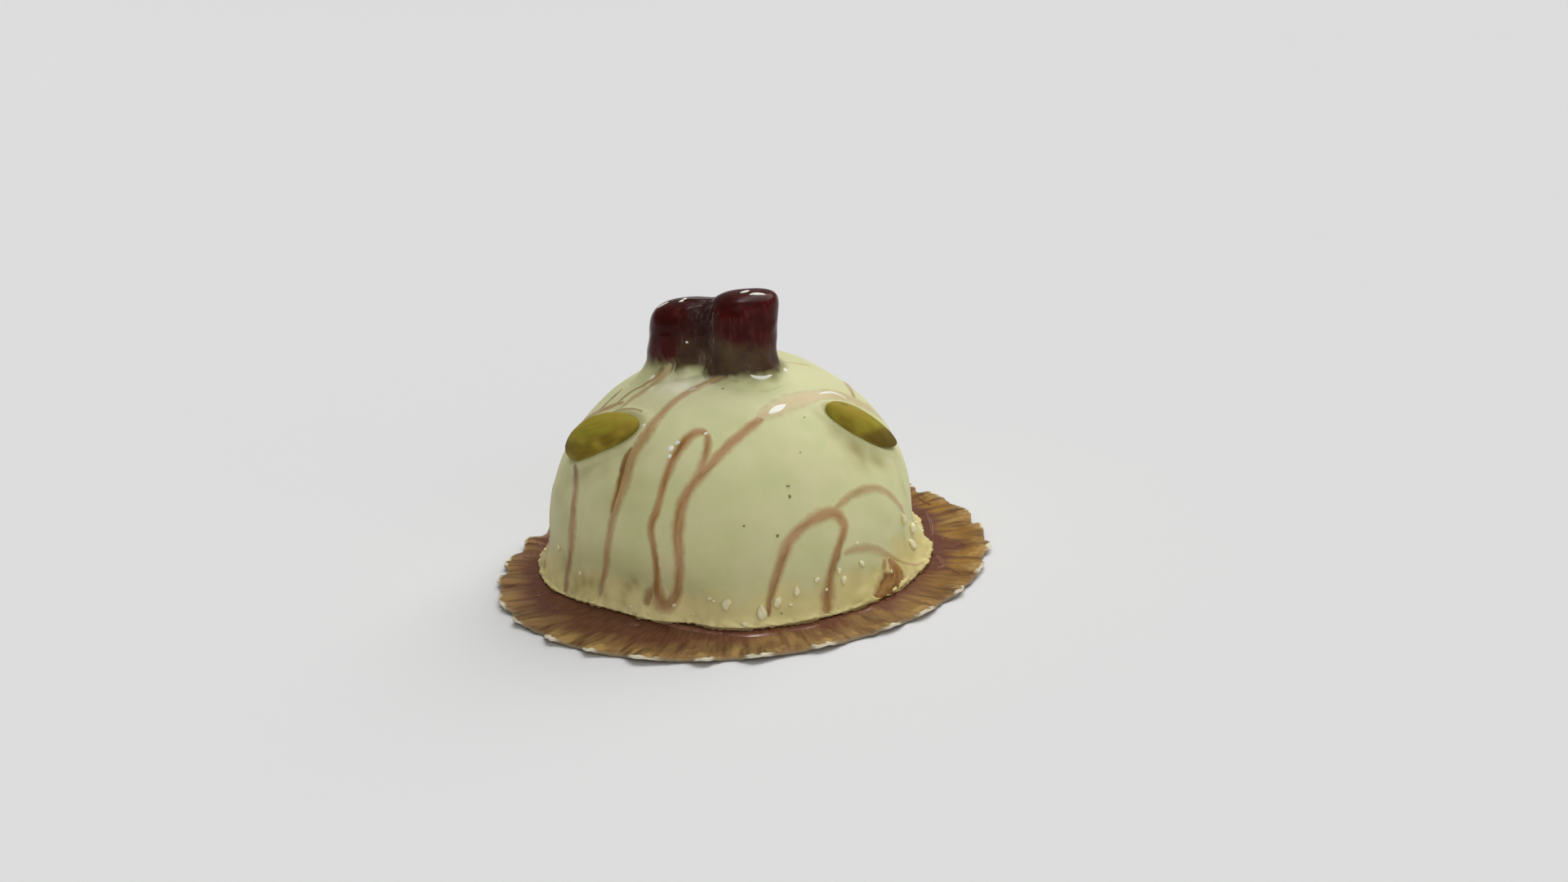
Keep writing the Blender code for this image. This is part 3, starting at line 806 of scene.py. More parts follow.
gap_threads = add_node(tree, "Math", {0: "gap", 1: 0.8, 2: 0.16}, operation="MULTIPLY_ADD")
patched_threads = add_node(tree, "Math", {0: gap_threads, 1: patched}, operation="MULTIPLY")
bloomed = add_node(tree, "Math", {0: threaded, 1: patched_threads}, operation="MULTIPLY")
syrup_mix = {0: reddened, 6: linear(SYRUP_BROWN), 7: linear(SYRUP_OLIVE)}
cherry_colour = linear(CHERRY_DEEP)
for share, coat in (
    (reddened, linear(CHERRY_RED)), (brightened, linear(CHERRY_BRIGHT)), ("gap", linear(GAP_SHADE_DARK)),
    ("syrup", add_node(tree, "Mix", syrup_mix, data_type="RGBA")), (bloomed, linear(SUGAR_BLOOM)),
    ("glaze", glaze_colour(tree)),
):
    cherry_colour = add_node(tree, "Mix", {0: share, 6: cherry_colour, 7: coat}, data_type="RGBA")
cherry_surface = add_node(tree, "BsdfPrincipled", {
    "Base Color": cherry_colour,
    "Roughness": add_node(tree, "MapRange", {"Value": "glaze", "To Min": 0.24, "To Max": 0.5}),
    "IOR": 1.19,
    "Normal": add_node(tree, "Bump", {"Height": flesh, "Strength": 0.5, "Distance": 0.00025}),
})
add_node(tree, "OutputMaterial", {"Surface": cherry_surface})

cherry_azimuths = whole_turn(CHERRY_STEPS)
gap_start, gap_end = (np.array(cherry["place"]) for cherry in CHERRIES)
gap_way = (gap_end - gap_start) / np.linalg.norm(gap_end - gap_start)
gap_middle = np.array(FILL_FOOT["place"])


def gap_shade_share(points):
    """How near a point is to the gap between the two cherries, where shade is painted dark."""
    beside = (points[..., :2] - gap_middle) @ gap_way + bumps(points, GAP_WOBBLE)
    return np.exp(-(np.abs(beside / GAP_HALF_WIDTH) ** GAP_SHARPNESS))


def cherry_notes(rings, heights, cherry):
    """The shares of syrup, glaze and the gap's painted shade on a cherry or on the syrup beside it."""
    wobble = bumps(rings, CHERRY_WOBBLE)
    apart = rings[..., :2] - np.array(cherry["place"])
    side = apart[..., 0] / np.linalg.norm(apart, axis=-1)
    right = np.clip(side, 0.0, 1.0)
    rise = cherry["red_rise"] * np.clip(0.3 - side, 0.0, 1.2) ** 2 - 0.0014 * right
    syrup = cherry["syrup"] * smooth_share(cherry["red_from"], cherry["red_to"], heights - rise + wobble)
    glaze = smooth_share(cherry["glaze_from"], cherry["glaze_to"], heights + 0.7 * wobble)
    return ring_notes(syrup=syrup * (1.0 - 0.5 * right**1.5), glaze=glaze, gap=gap_shade_share(rings))


def joined_rings(lumps):
    """(points, faces) of several closed ringed shapes together in one mesh."""
    points, faces, first = [], [], 0
    for lump in lumps:
        lump_points, lump_faces = ring_faces(lump)
        points.append(lump_points)
        faces += [tuple(corner + first for corner in face) for face in lump_faces]
        first += len(lump_points)
    return np.vstack(points), faces


cherry_skins = []
for cherry in CHERRIES:
    apart = (np.degrees(cherry_azimuths) - cherry["corner_azimuth"] + 180.0) % 360.0 - 180.0
    power = 2.0 / (cherry["squareness"] + cherry["corner"] * bell(apart, CORNER_SPREAD))
    shoulder = cherry["top"] - cherry["cap"]
    turns = np.radians(np.linspace(2.0, 90.0, CAP_RINGS))[:, None]
    side_heights = np.linspace(shoulder, CHERRY_WIDEST, SIDE_RINGS + 1)[1:, None]
    side_heights = np.repeat(side_heights, CHERRY_STEPS, axis=1)
    flared = 1.0 + cherry["flare"] * np.exp(-(side_heights - CHERRY_SEAT) / cherry["flare_height"])
    radii = cherry["half_width"] * np.concatenate((np.sin(turns) ** power, flared, flared[-1:]))
    cap_heights = shoulder + cherry["cap"] * np.maximum(np.cos(turns), 0.0) ** power
    heights = np.concatenate((cap_heights, side_heights, np.full((1, CHERRY_STEPS), CHERRY_ROOT)))
    for count, share, turn in CHERRY_LOBES:
        radii = radii * (1.0 + share * np.cos(count * cherry_azimuths + math.radians(turn)))
    dimples = bumps(turned(radii, cherry_azimuths, heights), CHERRY_DIMPLES) * (heights < shoulder)
    waist_at, waist_spread, waist_depth = CHERRY_WAIST
    waist = waist_depth * bell(heights - cherry["red_to"] - waist_at, waist_spread)
    radii = radii + dimples - waist
    across = radii * np.cos(cherry_azimuths)
    tilted = np.clip((heights - TILT_FROM) / TILT_RISE, 0.0, 1.0)
    cherry_rings = turned(radii, cherry_azimuths, heights + cherry["tilt"] * across * tilted)
    cherry_rings[..., 0] += cherry["place"][0] + cherry["lean"] * (heights - LEAN_FROM)
    cherry_rings[..., 1] += cherry["place"][1]
    cherry_skins.append(cherry_rings)
    cherry_points, cherry_faces = ring_faces(cherry_rings)
    notes = {**cherry_notes(cherry_rings, heights, cherry), **glaze_notes(cherry_points)}
    piece = new_piece("candied_" + cherry["name"], cherry_points, cherry_faces, candied_cherry, notes)
    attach(piece, "root")
    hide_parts(cherry["name"])

# The syrup between them: at each height, the outline that a thread drawn round both cherries
# would have, let in a little and pinched at the gap.
cap_turns = np.linspace(0.0, 1.0, FILL_CAP_RINGS + 1)[1:]
side_heights = np.linspace(FILL_TOP - FILL_CAP, CHERRY_WIDEST, FILL_RINGS)[1:]
fill_heights = np.concatenate((FILL_TOP - FILL_CAP * cap_turns**1.6, side_heights))
facings = np.stack((np.cos(cherry_azimuths), np.sin(cherry_azimuths)), axis=-1)
facing_each = np.maximum(facings @ facings.T, 0.02)
fill_rings = np.empty((len(fill_heights), CHERRY_STEPS, 3))
for row, height in enumerate(fill_heights):
    supports = []
    for cherry in CHERRIES:
        leaning = np.array((cherry["lean"] * (height - LEAN_FROM), 0.0))
        flared = 1.0 + cherry["flare"] * math.exp(-(height - CHERRY_SEAT) / cherry["flare_height"])
        up_cap = max(height - cherry["top"] + cherry["cap"], 0.0) / cherry["cap"]
        capped = (1.0 - min(up_cap, 0.999) ** cherry["squareness"]) ** (1.0 / cherry["squareness"])
        radius = max(cherry["half_width"] * flared * capped - FILL_INSET, 0.0006)
        supports.append(facings @ (np.array(cherry["place"]) + leaning - gap_middle) + radius)
    reach = (np.maximum(*supports)[:, None] / facing_each).min(axis=0)
    pinched = FILL_WAIST * (1.0 + 0.5 * smooth_share(0.047, 0.053, height))
    reach = reach - pinched * bell(reach * (facings @ gap_way), FILL_WAIST_SPREAD)
    fill_rings[row, :, :2] = gap_middle + facings * reach[:, None]
    fill_rings[row, :, 2] = height
fill_rings[..., :2] += bumps(fill_rings, FILL_BUMPS)[..., None] * facings
fill_points, fill_faces = ring_faces(fill_rings)
notes = {**cherry_notes(fill_rings, fill_rings[..., 2], FILL_FOOT), **glaze_notes(fill_points)}
cherry_syrup = new_piece("cherry_syrup", fill_points, fill_faces, candied_cherry, notes)
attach(cherry_syrup, "root")
topped_points, topped_faces = joined_rings([cake_rings, *cherry_skins, fill_rings])
topped_skin = BVHTree.FromPolygons(topped_points.tolist(), topped_faces)


# ---- the drizzle
# Thin milk chocolate flicked over the glaze from a spoon while it was wet. It lies almost flush
# in soft-edged lines that loop over the dome, run down to the foot and gather there.

STRAND_THICKNESS = 0.00011
STRAND_SINK = 0.00003
STRAND_SPACING = 0.00040
STRAND_FADE = 0.0012  # how far its ends fade
STRAND_STRAY = 0.08  # of its width
STRAND_STRAY_PITCH = 0.009
STRAND_BLUR = 2.0  # how much wider a strand is laid than its solid middle
TOP_LANES = np.linspace(-1.0, 1.0, 17)
UNDER_LANES = np.linspace(0.8, -0.8, 4)
STREAK_PITCH = 0.0010
STREAK_DEPTH = 0.40
STREAK_STRETCH = 0.16
MOTTLE_PITCH = 0.0016
MILK_CHOCOLATE = "#bd9467"
DARK_CHOCOLATE = "#a0753a"
DEEP_CHOCOLATE = "#5a3c1c"
CREAMED_CHOCOLATE = "#d2bd8c"

# Each strand's strength, how pale its middle is, and its stops: photo pixels across and down,
# width in millimetres, how dark (0 milk chocolate, 1 caramel brown, 2 deep brown).
SEEN_STRANDS = (
    (0.9, 0.2, ((678, 590, 1.0, 0.3), (674, 640, 1.2, 0.4), (671, 675, 1.1, 0.5), (667, 700, 1.0, 0.6))),
    (1.0, 0.2, (
        (704, 566, 1.8, 1.1), (705, 589, 2.3, 1.0), (704, 606, 2.4, 0.7), (701, 639, 2.3, 0.7),
        (699, 668, 2.1, 0.8), (696, 699, 1.9, 0.9), (693, 722, 1.7, 0.9), (690, 732, 1.3, 0.9),
    )),
    (1.0, 0.35, (
        (892, 459, 0.7, 1.8), (881, 463, 1.3, 1.3), (866, 469, 1.5, 0.9), (854, 475, 1.5, 0.5),
        (839, 483, 1.6, 0.3), (822, 495, 1.8, 0.3), (806, 512, 2.1, 0.3), (793, 530, 2.5, 0.7),
        (783, 546, 2.4, 0.9), (774, 562, 2.3, 0.9), (768, 580, 2.5, 1.0), (760, 601, 2.6, 1.0),
        (751, 633, 2.0, 0.9), (746, 658, 1.8, 0.7), (743, 683, 1.7, 0.6), (741, 700, 1.5, 0.5),
        (737, 716, 1.4, 0.3), (733, 734, 1.0, 0.2),
    )),
    (1.0, 0.0, (
        (868, 533, 1.2, 0.2), (861, 529, 1.8, 0.3), (852, 530, 2.1, 0.4), (843, 536, 2.2, 0.6),
        (834, 547, 2.2, 0.7), (825, 562, 2.0, 0.6), (817, 581, 1.9, 0.5), (811, 600, 1.9, 0.5),
        (804, 626, 1.8, 0.6), (797, 647, 1.6, 0.5), (801, 672, 1.5, 0.6), (804, 695, 1.5, 0.6),
        (805, 712, 1.9, 0.5), (806, 729, 3.1, 0.55), (813, 741, 3.2, 0.5), (824, 736, 2.4, 0.45),
        (831, 715, 2.0, 0.3), (832, 686, 2.1, 0.2), (830, 652, 2.3, 0.2), (834, 621, 2.4, 0.2),
        (844, 600, 2.2, 0.2), (855, 586, 2.0, 0.2), (872, 567, 2.0, 0.1), (895, 543, 2.0, 0.1),
        (917, 524, 2.1, 0.2), (938, 509, 1.8, 0.3),
    )),
    (0.9, 0.0, (
        (862, 529, 1.2, 0.3), (867, 536, 1.7, 0.4), (866, 550, 1.8, 0.4), (861, 568, 1.8, 0.2),
        (854, 588, 1.8, 0.2), (845, 605, 1.2, 0.2),
    )),
    (0.95, 1.0, (
        (925, 517, 1.6, 0.3), (938, 507, 2.6, 0.5), (953, 499, 3.2, 0.6), (970, 492, 3.3, 0.5),
        (986, 487, 3.0, 0.5), (1003, 484, 2.7, 0.6), (1020, 483, 2.6, 0.6), (1037, 487, 2.5, 0.6),
        (1053, 494, 2.4, 0.6), (1070, 504, 2.2, 0.6), (1086, 517, 1.8, 0.6), (1097, 530, 1.2, 0.6),
    )),
    (0.95, 0.0, (
        (939, 759, 1.2, 1.1), (944, 730, 1.5, 0.8), (951, 705, 2.0, 0.5), (963, 670, 2.5, 0.3),
        (976, 651, 2.5, 0.2), (996, 636, 2.5, 0.2), (1011, 629, 2.4, 0.3), (1025, 630, 2.3, 0.3),
        (1033, 643, 2.2, 0.4), (1030, 660, 2.0, 0.6), (1025, 676, 1.9, 0.7), (1018, 699, 1.8, 0.9),
        (1015, 720, 2.2, 1.0), (1013, 734, 2.7, 0.8), (1012, 748, 2.8, 0.9), (1012, 758, 2.4, 0.9),
    )),
    (0.68, 0.0, (
        (1018, 628, 1.2, 0.3), (1027, 619, 1.4, 0.3), (1040, 608, 1.6, 0.3), (1054, 601, 1.8, 0.3),
        (1069, 598, 1.8, 0.3), (1084, 602, 1.7, 0.4), (1096, 612, 1.5, 0.4), (1105, 624, 1.2, 0.4),
        (1109, 634, 0.8, 0.4),
    )),
    (0.58, 0.0, (
        (1030, 680, 1.1, 0.6), (1043, 674, 1.5, 0.6), (1058, 671, 1.8, 0.6), (1073, 673, 1.8, 0.7),
        (1087, 680, 1.6, 0.8), (1100, 686, 1.0, 0.7), (1112, 690, 0.7, 0.7), (1127, 690, 0.6, 0.7),
        (1138, 689, 0.5, 0.7),
    )),
    (1.5, 0.0, (
        (1086, 681, 1.0, 0.8), (1092, 690, 2.2, 0.7), (1097, 700, 3.8, 1.1), (1096, 710, 5.2, 1.35),
        (1088, 719, 5.6, 1.35), (1079, 728, 4.6, 1.15), (1070, 738, 2.6, 0.8),
    )),
    (0.8, 0.0, (
        (1083, 680, 0.9, 0.7), (1083, 688, 1.5, 0.8), (1082, 697, 1.4, 0.9), (1081, 703, 0.8, 0.9),
    )),
    (1.0, 0.0, (
        (778, 544, 0.6, 1.1), (771, 553, 1.2, 1.4), (766, 563, 1.6, 1.6), (763, 576, 1.6, 1.5),
        (760, 588, 1.6, 1.3), (757, 601, 1.5, 1.2), (752, 618, 1.2, 1.0), (748, 634, 0.8, 0.9),
    )),
    (1.0, 0.7, (
        (824, 442, 0.6, 1.6), (819, 450, 1.1, 1.2), (814, 458, 1.2, 0.7), (806, 466, 1.4, 0.8),
        (797, 473, 1.4, 1.0), (785, 481, 1.4, 0.9), (771, 491, 1.3, 0.9), (757, 501, 1.1, 0.9),
        (750, 505, 0.8, 0.9),
    )),
    (0.8, 0.0, (
        (815, 446, 0.4, 1.5), (810, 454, 0.8, 1.0), (801, 464, 1.0, 0.8), (790, 471, 1.0, 0.9),
        (778, 477, 1.0, 1.0), (765, 486, 1.0, 1.0), (752, 497, 0.8, 0.9),
    )),
    (0.9, 0.0, ((765, 474, 0.7, 0.7), (754, 484, 1.0, 0.8), (742, 495, 1.1, 0.8), (729, 509, 0.8, 0.8))),
    (0.7, 0.0, (
        (745, 507, 0.4, 1.4), (756, 502.5, 0.5, 1.4), (768, 500.5, 0.5, 1.2), (780, 501.5, 0.5, 1.2),
        (789, 505, 0.4, 1.2),
    )),
    (0.5, 0.0, ((958, 443, 0.5, 0.1), (966, 444, 0.6, 0.1), (980, 446, 0.6, 0.1), (993, 448, 0.5, 0.1))),
    (0.85, 0.0, (
        (811, 716, 1.1, 0.8), (803, 722, 2.2, 0.9), (796, 730, 3.2, 1.0), (792, 738, 3.0, 1.0),
        (790, 745, 1.4, 0.9),
    )),
)
# The far side, which the photo doesn't show, carries on in the same way: azimuth, height over
# the cake's floor in millimetres, width in millimetres, share of dark.
FAR_STRANDS = (
    (0.95, 0.3, (
        (-12, 31.5, 1.2, 0.5), (2, 32.5, 1.6, 0.3), (18, 31.0, 1.8, 0.2), (30, 27.0, 1.9, 0.2),
        (38, 21.0, 1.9, 0.3), (41, 14.0, 1.8, 0.4), (42, 7.0, 1.7, 0.6), (44, 3.4, 1.9, 0.8),
        (48, 2.2, 1.8, 0.7), (52, 4.0, 1.7, 0.5), (53, 10.0, 1.8, 0.3), (55, 18.0, 1.9, 0.2),
        (62, 26.0, 1.9, 0.2), (74, 30.5, 1.7, 0.2), (90, 31.0, 1.4, 0.2), (104, 28.5, 1.0, 0.2),
    )),
    (1.0, 0.4, (
        (118, 41.0, 1.0, 0.6), (118, 38.0, 1.5, 0.4), (114, 33.5, 1.9, 0.3), (112, 27.0, 2.1, 0.4),
        (111, 19.0, 2.0, 0.6), (112, 11.0, 1.8, 0.7), (112, 4.0, 1.5, 0.8), (112, 1.2, 1.2, 0.8),
    )),
    (0.95, 0.0, (
        (122, 2.0, 1.1, 0.9), (123, 8.0, 1.5, 0.6), (125, 15.0, 1.8, 0.4), (130, 21.0, 2.0, 0.2),
        (137, 23.0, 2.1, 0.2), (143, 20.0, 1.9, 0.4), (145, 13.0, 1.7, 0.6), (146, 6.0, 1.7, 0.9),
        (146, 2.0, 1.8, 1.0),
    )),
    (1.0, 0.2, (
        (-154, 36.5, 0.8, 0.6), (-166, 34.5, 1.3, 0.4), (-180, 31.0, 1.6, 0.3), (-194, 25.5, 1.8, 0.3),
        (-203, 18.0, 1.8, 0.4), (-206, 10.0, 1.6, 0.6), (-208, 3.5, 1.2, 0.7),
    )),
    (0.7, 0.0, (
        (20, 2.0, 1.0, 0.8), (17, 8.0, 1.4, 0.5), (12, 12.5, 1.7, 0.3), (4, 13.5, 1.6, 0.3),
        (-3, 11.0, 1.2, 0.4), (-8, 8.0, 1.0, 0.5),
    )),
    (0.9, 0.0, (
        (70, 1.5, 1.2, 0.9), (72, 7.0, 1.6, 0.7), (75, 13.0, 1.8, 0.4), (81, 17.5, 1.6, 0.3),
        (89, 17.0, 1.1, 0.3),
    )),
    (0.85, 0.0, ((158, 9.0, 1.0, 0.8), (161, 4.5, 2.4, 1.0), (165, 2.4, 3.2, 1.0), (170, 1.8, 1.6, 0.7))),
)


def side_point(azimuth, height):
    """The point of the cake's side at an azimuth in degrees and a height in millimetres."""
    around, height = math.radians(azimuth), height / 1000.0
    sine = min(max((height - BASE_HEIGHT) / DOME_RISE, 0.0), 1.0)
    radius = dome_point(math.asin(sine))[0] + skirt(height)
    radius *= 1.0 + swell(around, height) / MOULD_RADIUS
    x, y = CAKE_CENTRE
    return Vector((x + radius * math.cos(around), y + radius * math.sin(around), CAKE_FLOOR + height))


def lay_strand(stops, skin, thickness, seed, fade):
    """A strand on a skin as closed rings, with its notes: its edge, and how dark it is if its
    stops say so."""
    run = smooth_run(stops, STRAND_SPACING)
    nearest = [skin.find_nearest(Vector(stop[:3])) for stop in run]
    middle, normals = (np.array([hit[part] for hit in nearest]) for part in (0, 1))
    sideways = np.cross(normals, np.gradient(middle, axis=0))
    sideways /= np.linalg.norm(sideways, axis=1, keepdims=True) + 1e-12
    length = np.append(0.0, np.cumsum(np.linalg.norm(np.diff(middle, axis=0), axis=1)))
    width = run[:, 3] / 1000.0 * (1.0 + STRAND_STRAY * unevenness(middle, STRAND_STRAY_PITCH, seed))
    from_end = np.minimum(length, length[-1] - length)
    ended = 1.0 - np.clip(from_end / (0.9 * width), 0.0, 1.0)
    rounded = np.sqrt(np.clip(1.0 - ended**2, 0.0, 1.0))
    half = width / 2.0 * np.maximum(rounded, 0.08)
    rings = np.empty((len(run), len(TOP_LANES) + len(UNDER_LANES), 3))
    for lane, offset in enumerate((*TOP_LANES, *UNDER_LANES)):
        raised = thickness * rounded * (1.0 - offset**2) ** 2 - STRAND_SINK * offset**4
        if lane >= len(TOP_LANES):
            raised = np.full(len(run), -2.5 * STRAND_SINK)
        for row, spot in enumerate(middle + sideways * (half * offset)[:, None]):
            found, normal = skin.find_nearest(Vector(spot))[:2]
            rings[row, lane] = found + normal * raised[row]
    lanes = np.append(np.abs(TOP_LANES), np.ones(len(UNDER_LANES)))
    notes = {"edge": np.maximum(lanes, 1.0 - np.clip(from_end / fade, 0.0, 1.0)[:, None])}
    if run.shape[1] > 4:
        # Streaks of thicker and thinner chocolate along the strand.
        across = half[:, None] * np.append(TOP_LANES, UNDER_LANES)
        along = STREAK_STRETCH * length[:, None]
        streaks = np.stack(np.broadcast_arrays(across, along, 0.0), axis=-1)
        notes["dark"] = run[:, 4:5] + STREAK_DEPTH * unevenness(streaks, STREAK_PITCH, seed + 300)
    return rings, notes


def placed(stops, place, widened=1.0):
    """A strand's stops, each with the point that a function gives for its first two numbers."""
    return [(*place(*stop[:2]), widened * stop[2], *stop[3:]) for stop in stops]


def joined_notes(notes):
    """The notes of several ringed shapes, each given by name, run together as their points are."""
    joined = [ring_notes(**note) for note in notes]
    return {name: np.concatenate([note[name] for note in joined]) for name in joined[0]}


def laid_strands(strands, skin, thickness, seed, fade=STRAND_FADE):
    """(points, faces, notes) of strands on a skin, each given by its own notes and its stops."""
    lumps, notes = [], []
    for number, (own, stops) in enumerate(strands):
        own_thickness = thickness * own.get("strength", 1.0)
        rings, laid = lay_strand(stops, skin, own_thickness, seed + number, fade)
        lumps.append(rings)
        notes.append({**laid, **{name: np.full(rings.shape[:2], own[name]) for name in own}})
    return *joined_rings(lumps), joined_notes(notes)


def over_syrup(points):
    """How far the cherries' brown foot, and not the glaze, is what a point lies on."""
    shown = np.zeros(len(points))
    for cherry, rings in zip((*CHERRIES, FILL_FOOT), (*cherry_skins, fill_rings)):
        beside = np.hypot(*(points[:, :2] - np.array(cherry["place"])).T)
        near = (points[:, 2] > CHERRY_SEAT) & (beside < 1.8 * cherry["half_width"])
        foot_points, foot_faces = ring_faces(rings)
        foot_skin = BVHTree.FromPolygons(foot_points.tolist(), foot_faces)
        for index in np.flatnonzero(near):
            apart = foot_skin.find_nearest(Vector(points[index]))[3]
            glaze = smooth_share(cherry["glaze_from"], cherry["glaze_to"], points[index, 2])
            touching = smooth_share(0.0006, 0.0002, apart)
            shown[index] = max(shown[index], touching * (1.0 - glaze))
    return shown


# Milk chocolate let down with cream, set on wet glaze: a thin tan film with blurred edges where
# it has bled, darker and more orange where it has gathered, creamy in the middle of wide strands.
milk_chocolate, tree = new_material("milk_chocolate")
place = add_node(tree, "TexCoord").outputs["Object"]
mottle = add_node(tree, "TexNoise", {"Vector": place, "Scale": 1.0 / MOTTLE_PITCH, "Detail": 5.0})
mottled = add_node(tree, "Math", {0: mottle, 1: 1.5, 2: -0.75}, operation="MULTIPLY_ADD")
browned = add_node(tree, "Math", {0: "dark", 1: mottled}, operation="ADD", use_clamp=True)
deepened = add_node(tree, "Math", {0: "dark", 1: 1.0}, operation="SUBTRACT", use_clamp=True)
bled = add_node(tree, "Math", {0: mottle, 1: 0.5, 2: "edge"}, operation="MULTIPLY_ADD")
inside, solid = (
    add_node(
        tree,
        "MapRange",
        {"Value": value, "From Min": start, "From Max": whole},
        interpolation_type="SMOOTHSTEP",
    )
    for value, start, whole in (("edge", 0.62, 0.28), (bled, 1.04, 0.36))
)
creamed = add_node(tree, "Math", {0: inside, 1: "pale"}, operation="MULTIPLY")
thinned = add_node(tree, "Math", {0: "over_syrup", 1: -0.6, 2: "strength"}, operation="MULTIPLY_ADD")
film_share = add_node(tree, "Math", {0: solid, 1: thinned}, operation="MULTIPLY", use_clamp=True)
film = linear(MILK_CHOCOLATE)
for share, coat in (
    (browned, DARK_CHOCOLATE), (deepened, DEEP_CHOCOLATE), (creamed, CREAMED_CHOCOLATE),
):
    film = add_node(tree, "Mix", {0: share, 6: film, 7: linear(coat)}, data_type="RGBA")
film_colour = glaze_colour(tree)
for share, coat in (("over_syrup", linear(SYRUP_BROWN)), (film_share, film)):
    film_colour = add_node(tree, "Mix", {0: share, 6: film_colour, 7: coat}, data_type="RGBA")
film_surface = add_node(tree, "BsdfPrincipled", {
    "Base Color": film_colour,
    "Roughness": add_node(tree, "MapRange", {"Value": film_share, "To Min": 0.52, "To Max": 0.34}),
    "IOR": 1.40,
})
add_node(tree, "OutputMaterial", {"Surface": film_surface})

strands = [
    ({"strength": strength, "pale": pale}, placed(stops, place, STRAND_BLUR))
    for rows, place in ((SEEN_STRANDS, partial(seen_on, topped_skin)), (FAR_STRANDS, side_point))
    for strength, pale, stops in rows
]
drizzle_points, drizzle_faces, notes = laid_strands(strands, topped_skin, STRAND_THICKNESS, 40)
notes = {**notes, **glaze_notes(drizzle_points), "over_syrup": over_syrup(drizzle_points)}
drizzle = new_piece("chocolate_drizzle", drizzle_points, drizzle_faces, milk_chocolate, notes)
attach(drizzle, "root")


# ---- the pistachios
# Shelled, skinned pistachio kernels pressed on their flat side into the wet glaze. Each is an
# uneven, bowed egg with fine lengthwise wrinkles, browner on its lower side, where brown skin
# clings and shade is painted.

KERNEL_THICKNESS = 0.82  # of the width
KERNEL_NARROWING = 0.20
KERNEL_POINTING = 0.10
KERNEL_STEPS = 128
KERNEL_RINGS = 72
GRAIN_STRETCH = (0.20, 1.0, 1.0)
WRINKLE_PITCH = 0.0013
WRINKLE_DEPTH = 0.00007
KERNEL_STREAK_PITCH = 0.0010
KERNEL_TINT_PITCH = 0.0034
KERNEL_GREEN = "#9a912c"
KERNEL_YELLOW = "#a69034"
KERNEL_SKIN_AND_SHADE = "#7a631f"
KERNEL_LOW_SHADE = "#4c3c22"
KERNEL_FILM = "#8f8738"

# A blanched kernel, oily and matt: yellow-green with soft streaks along its length, browner
# below where the skin is left and where shade is painted, almost black-brown in blotches of
# painted shade on its low side.
pistachio_kernel, tree = new_material("pistachio_kernel")
grain_place = add_node(tree, "Attribute", attribute_name="grain").outputs["Vector"]
streaks, tints = (
    add_node(tree, "TexNoise", {"Vector": grain_place, "Scale": 1.0 / pitch, "Detail": detail})
    for pitch, detail in ((KERNEL_STREAK_PITCH, 5.0), (KERNEL_TINT_PITCH, 3.0))
)
tinted = add_node(tree, "MapRange", {"Value": tints, "From Min": 0.38, "From Max": 0.62})
streaky = add_node(tree, "Math", {0: streaks, 1: 0.9, 2: -0.45}, operation="MULTIPLY_ADD")
skin_and_shade_share = add_node(tree, "Math", {0: "skin", 1: streaky}, operation="ADD", use_clamp=True)
kernel_colour = linear(KERNEL_GREEN)
for share, coat in (
    (tinted, KERNEL_YELLOW), (skin_and_shade_share, KERNEL_SKIN_AND_SHADE), ("wet", KERNEL_LOW_SHADE), ("film", KERNEL_FILM),
):
    kernel_colour = add_node(tree, "Mix", {0: share, 6: kernel_colour, 7: linear(coat)}, data_type="RGBA")
kernel_surface = add_node(tree, "BsdfPrincipled", {
    "Base Color": kernel_colour,
    "Roughness": 0.6,
    "IOR": 1.20,
    "Normal": add_node(tree, "Bump", {"Height": streaks, "Strength": 0.5, "Distance": 0.00012}),
})
add_node(tree, "OutputMaterial", {"Surface": kernel_surface})

kernel_turns = np.radians(np.linspace(1.2, 178.8, KERNEL_RINGS))[:, None]
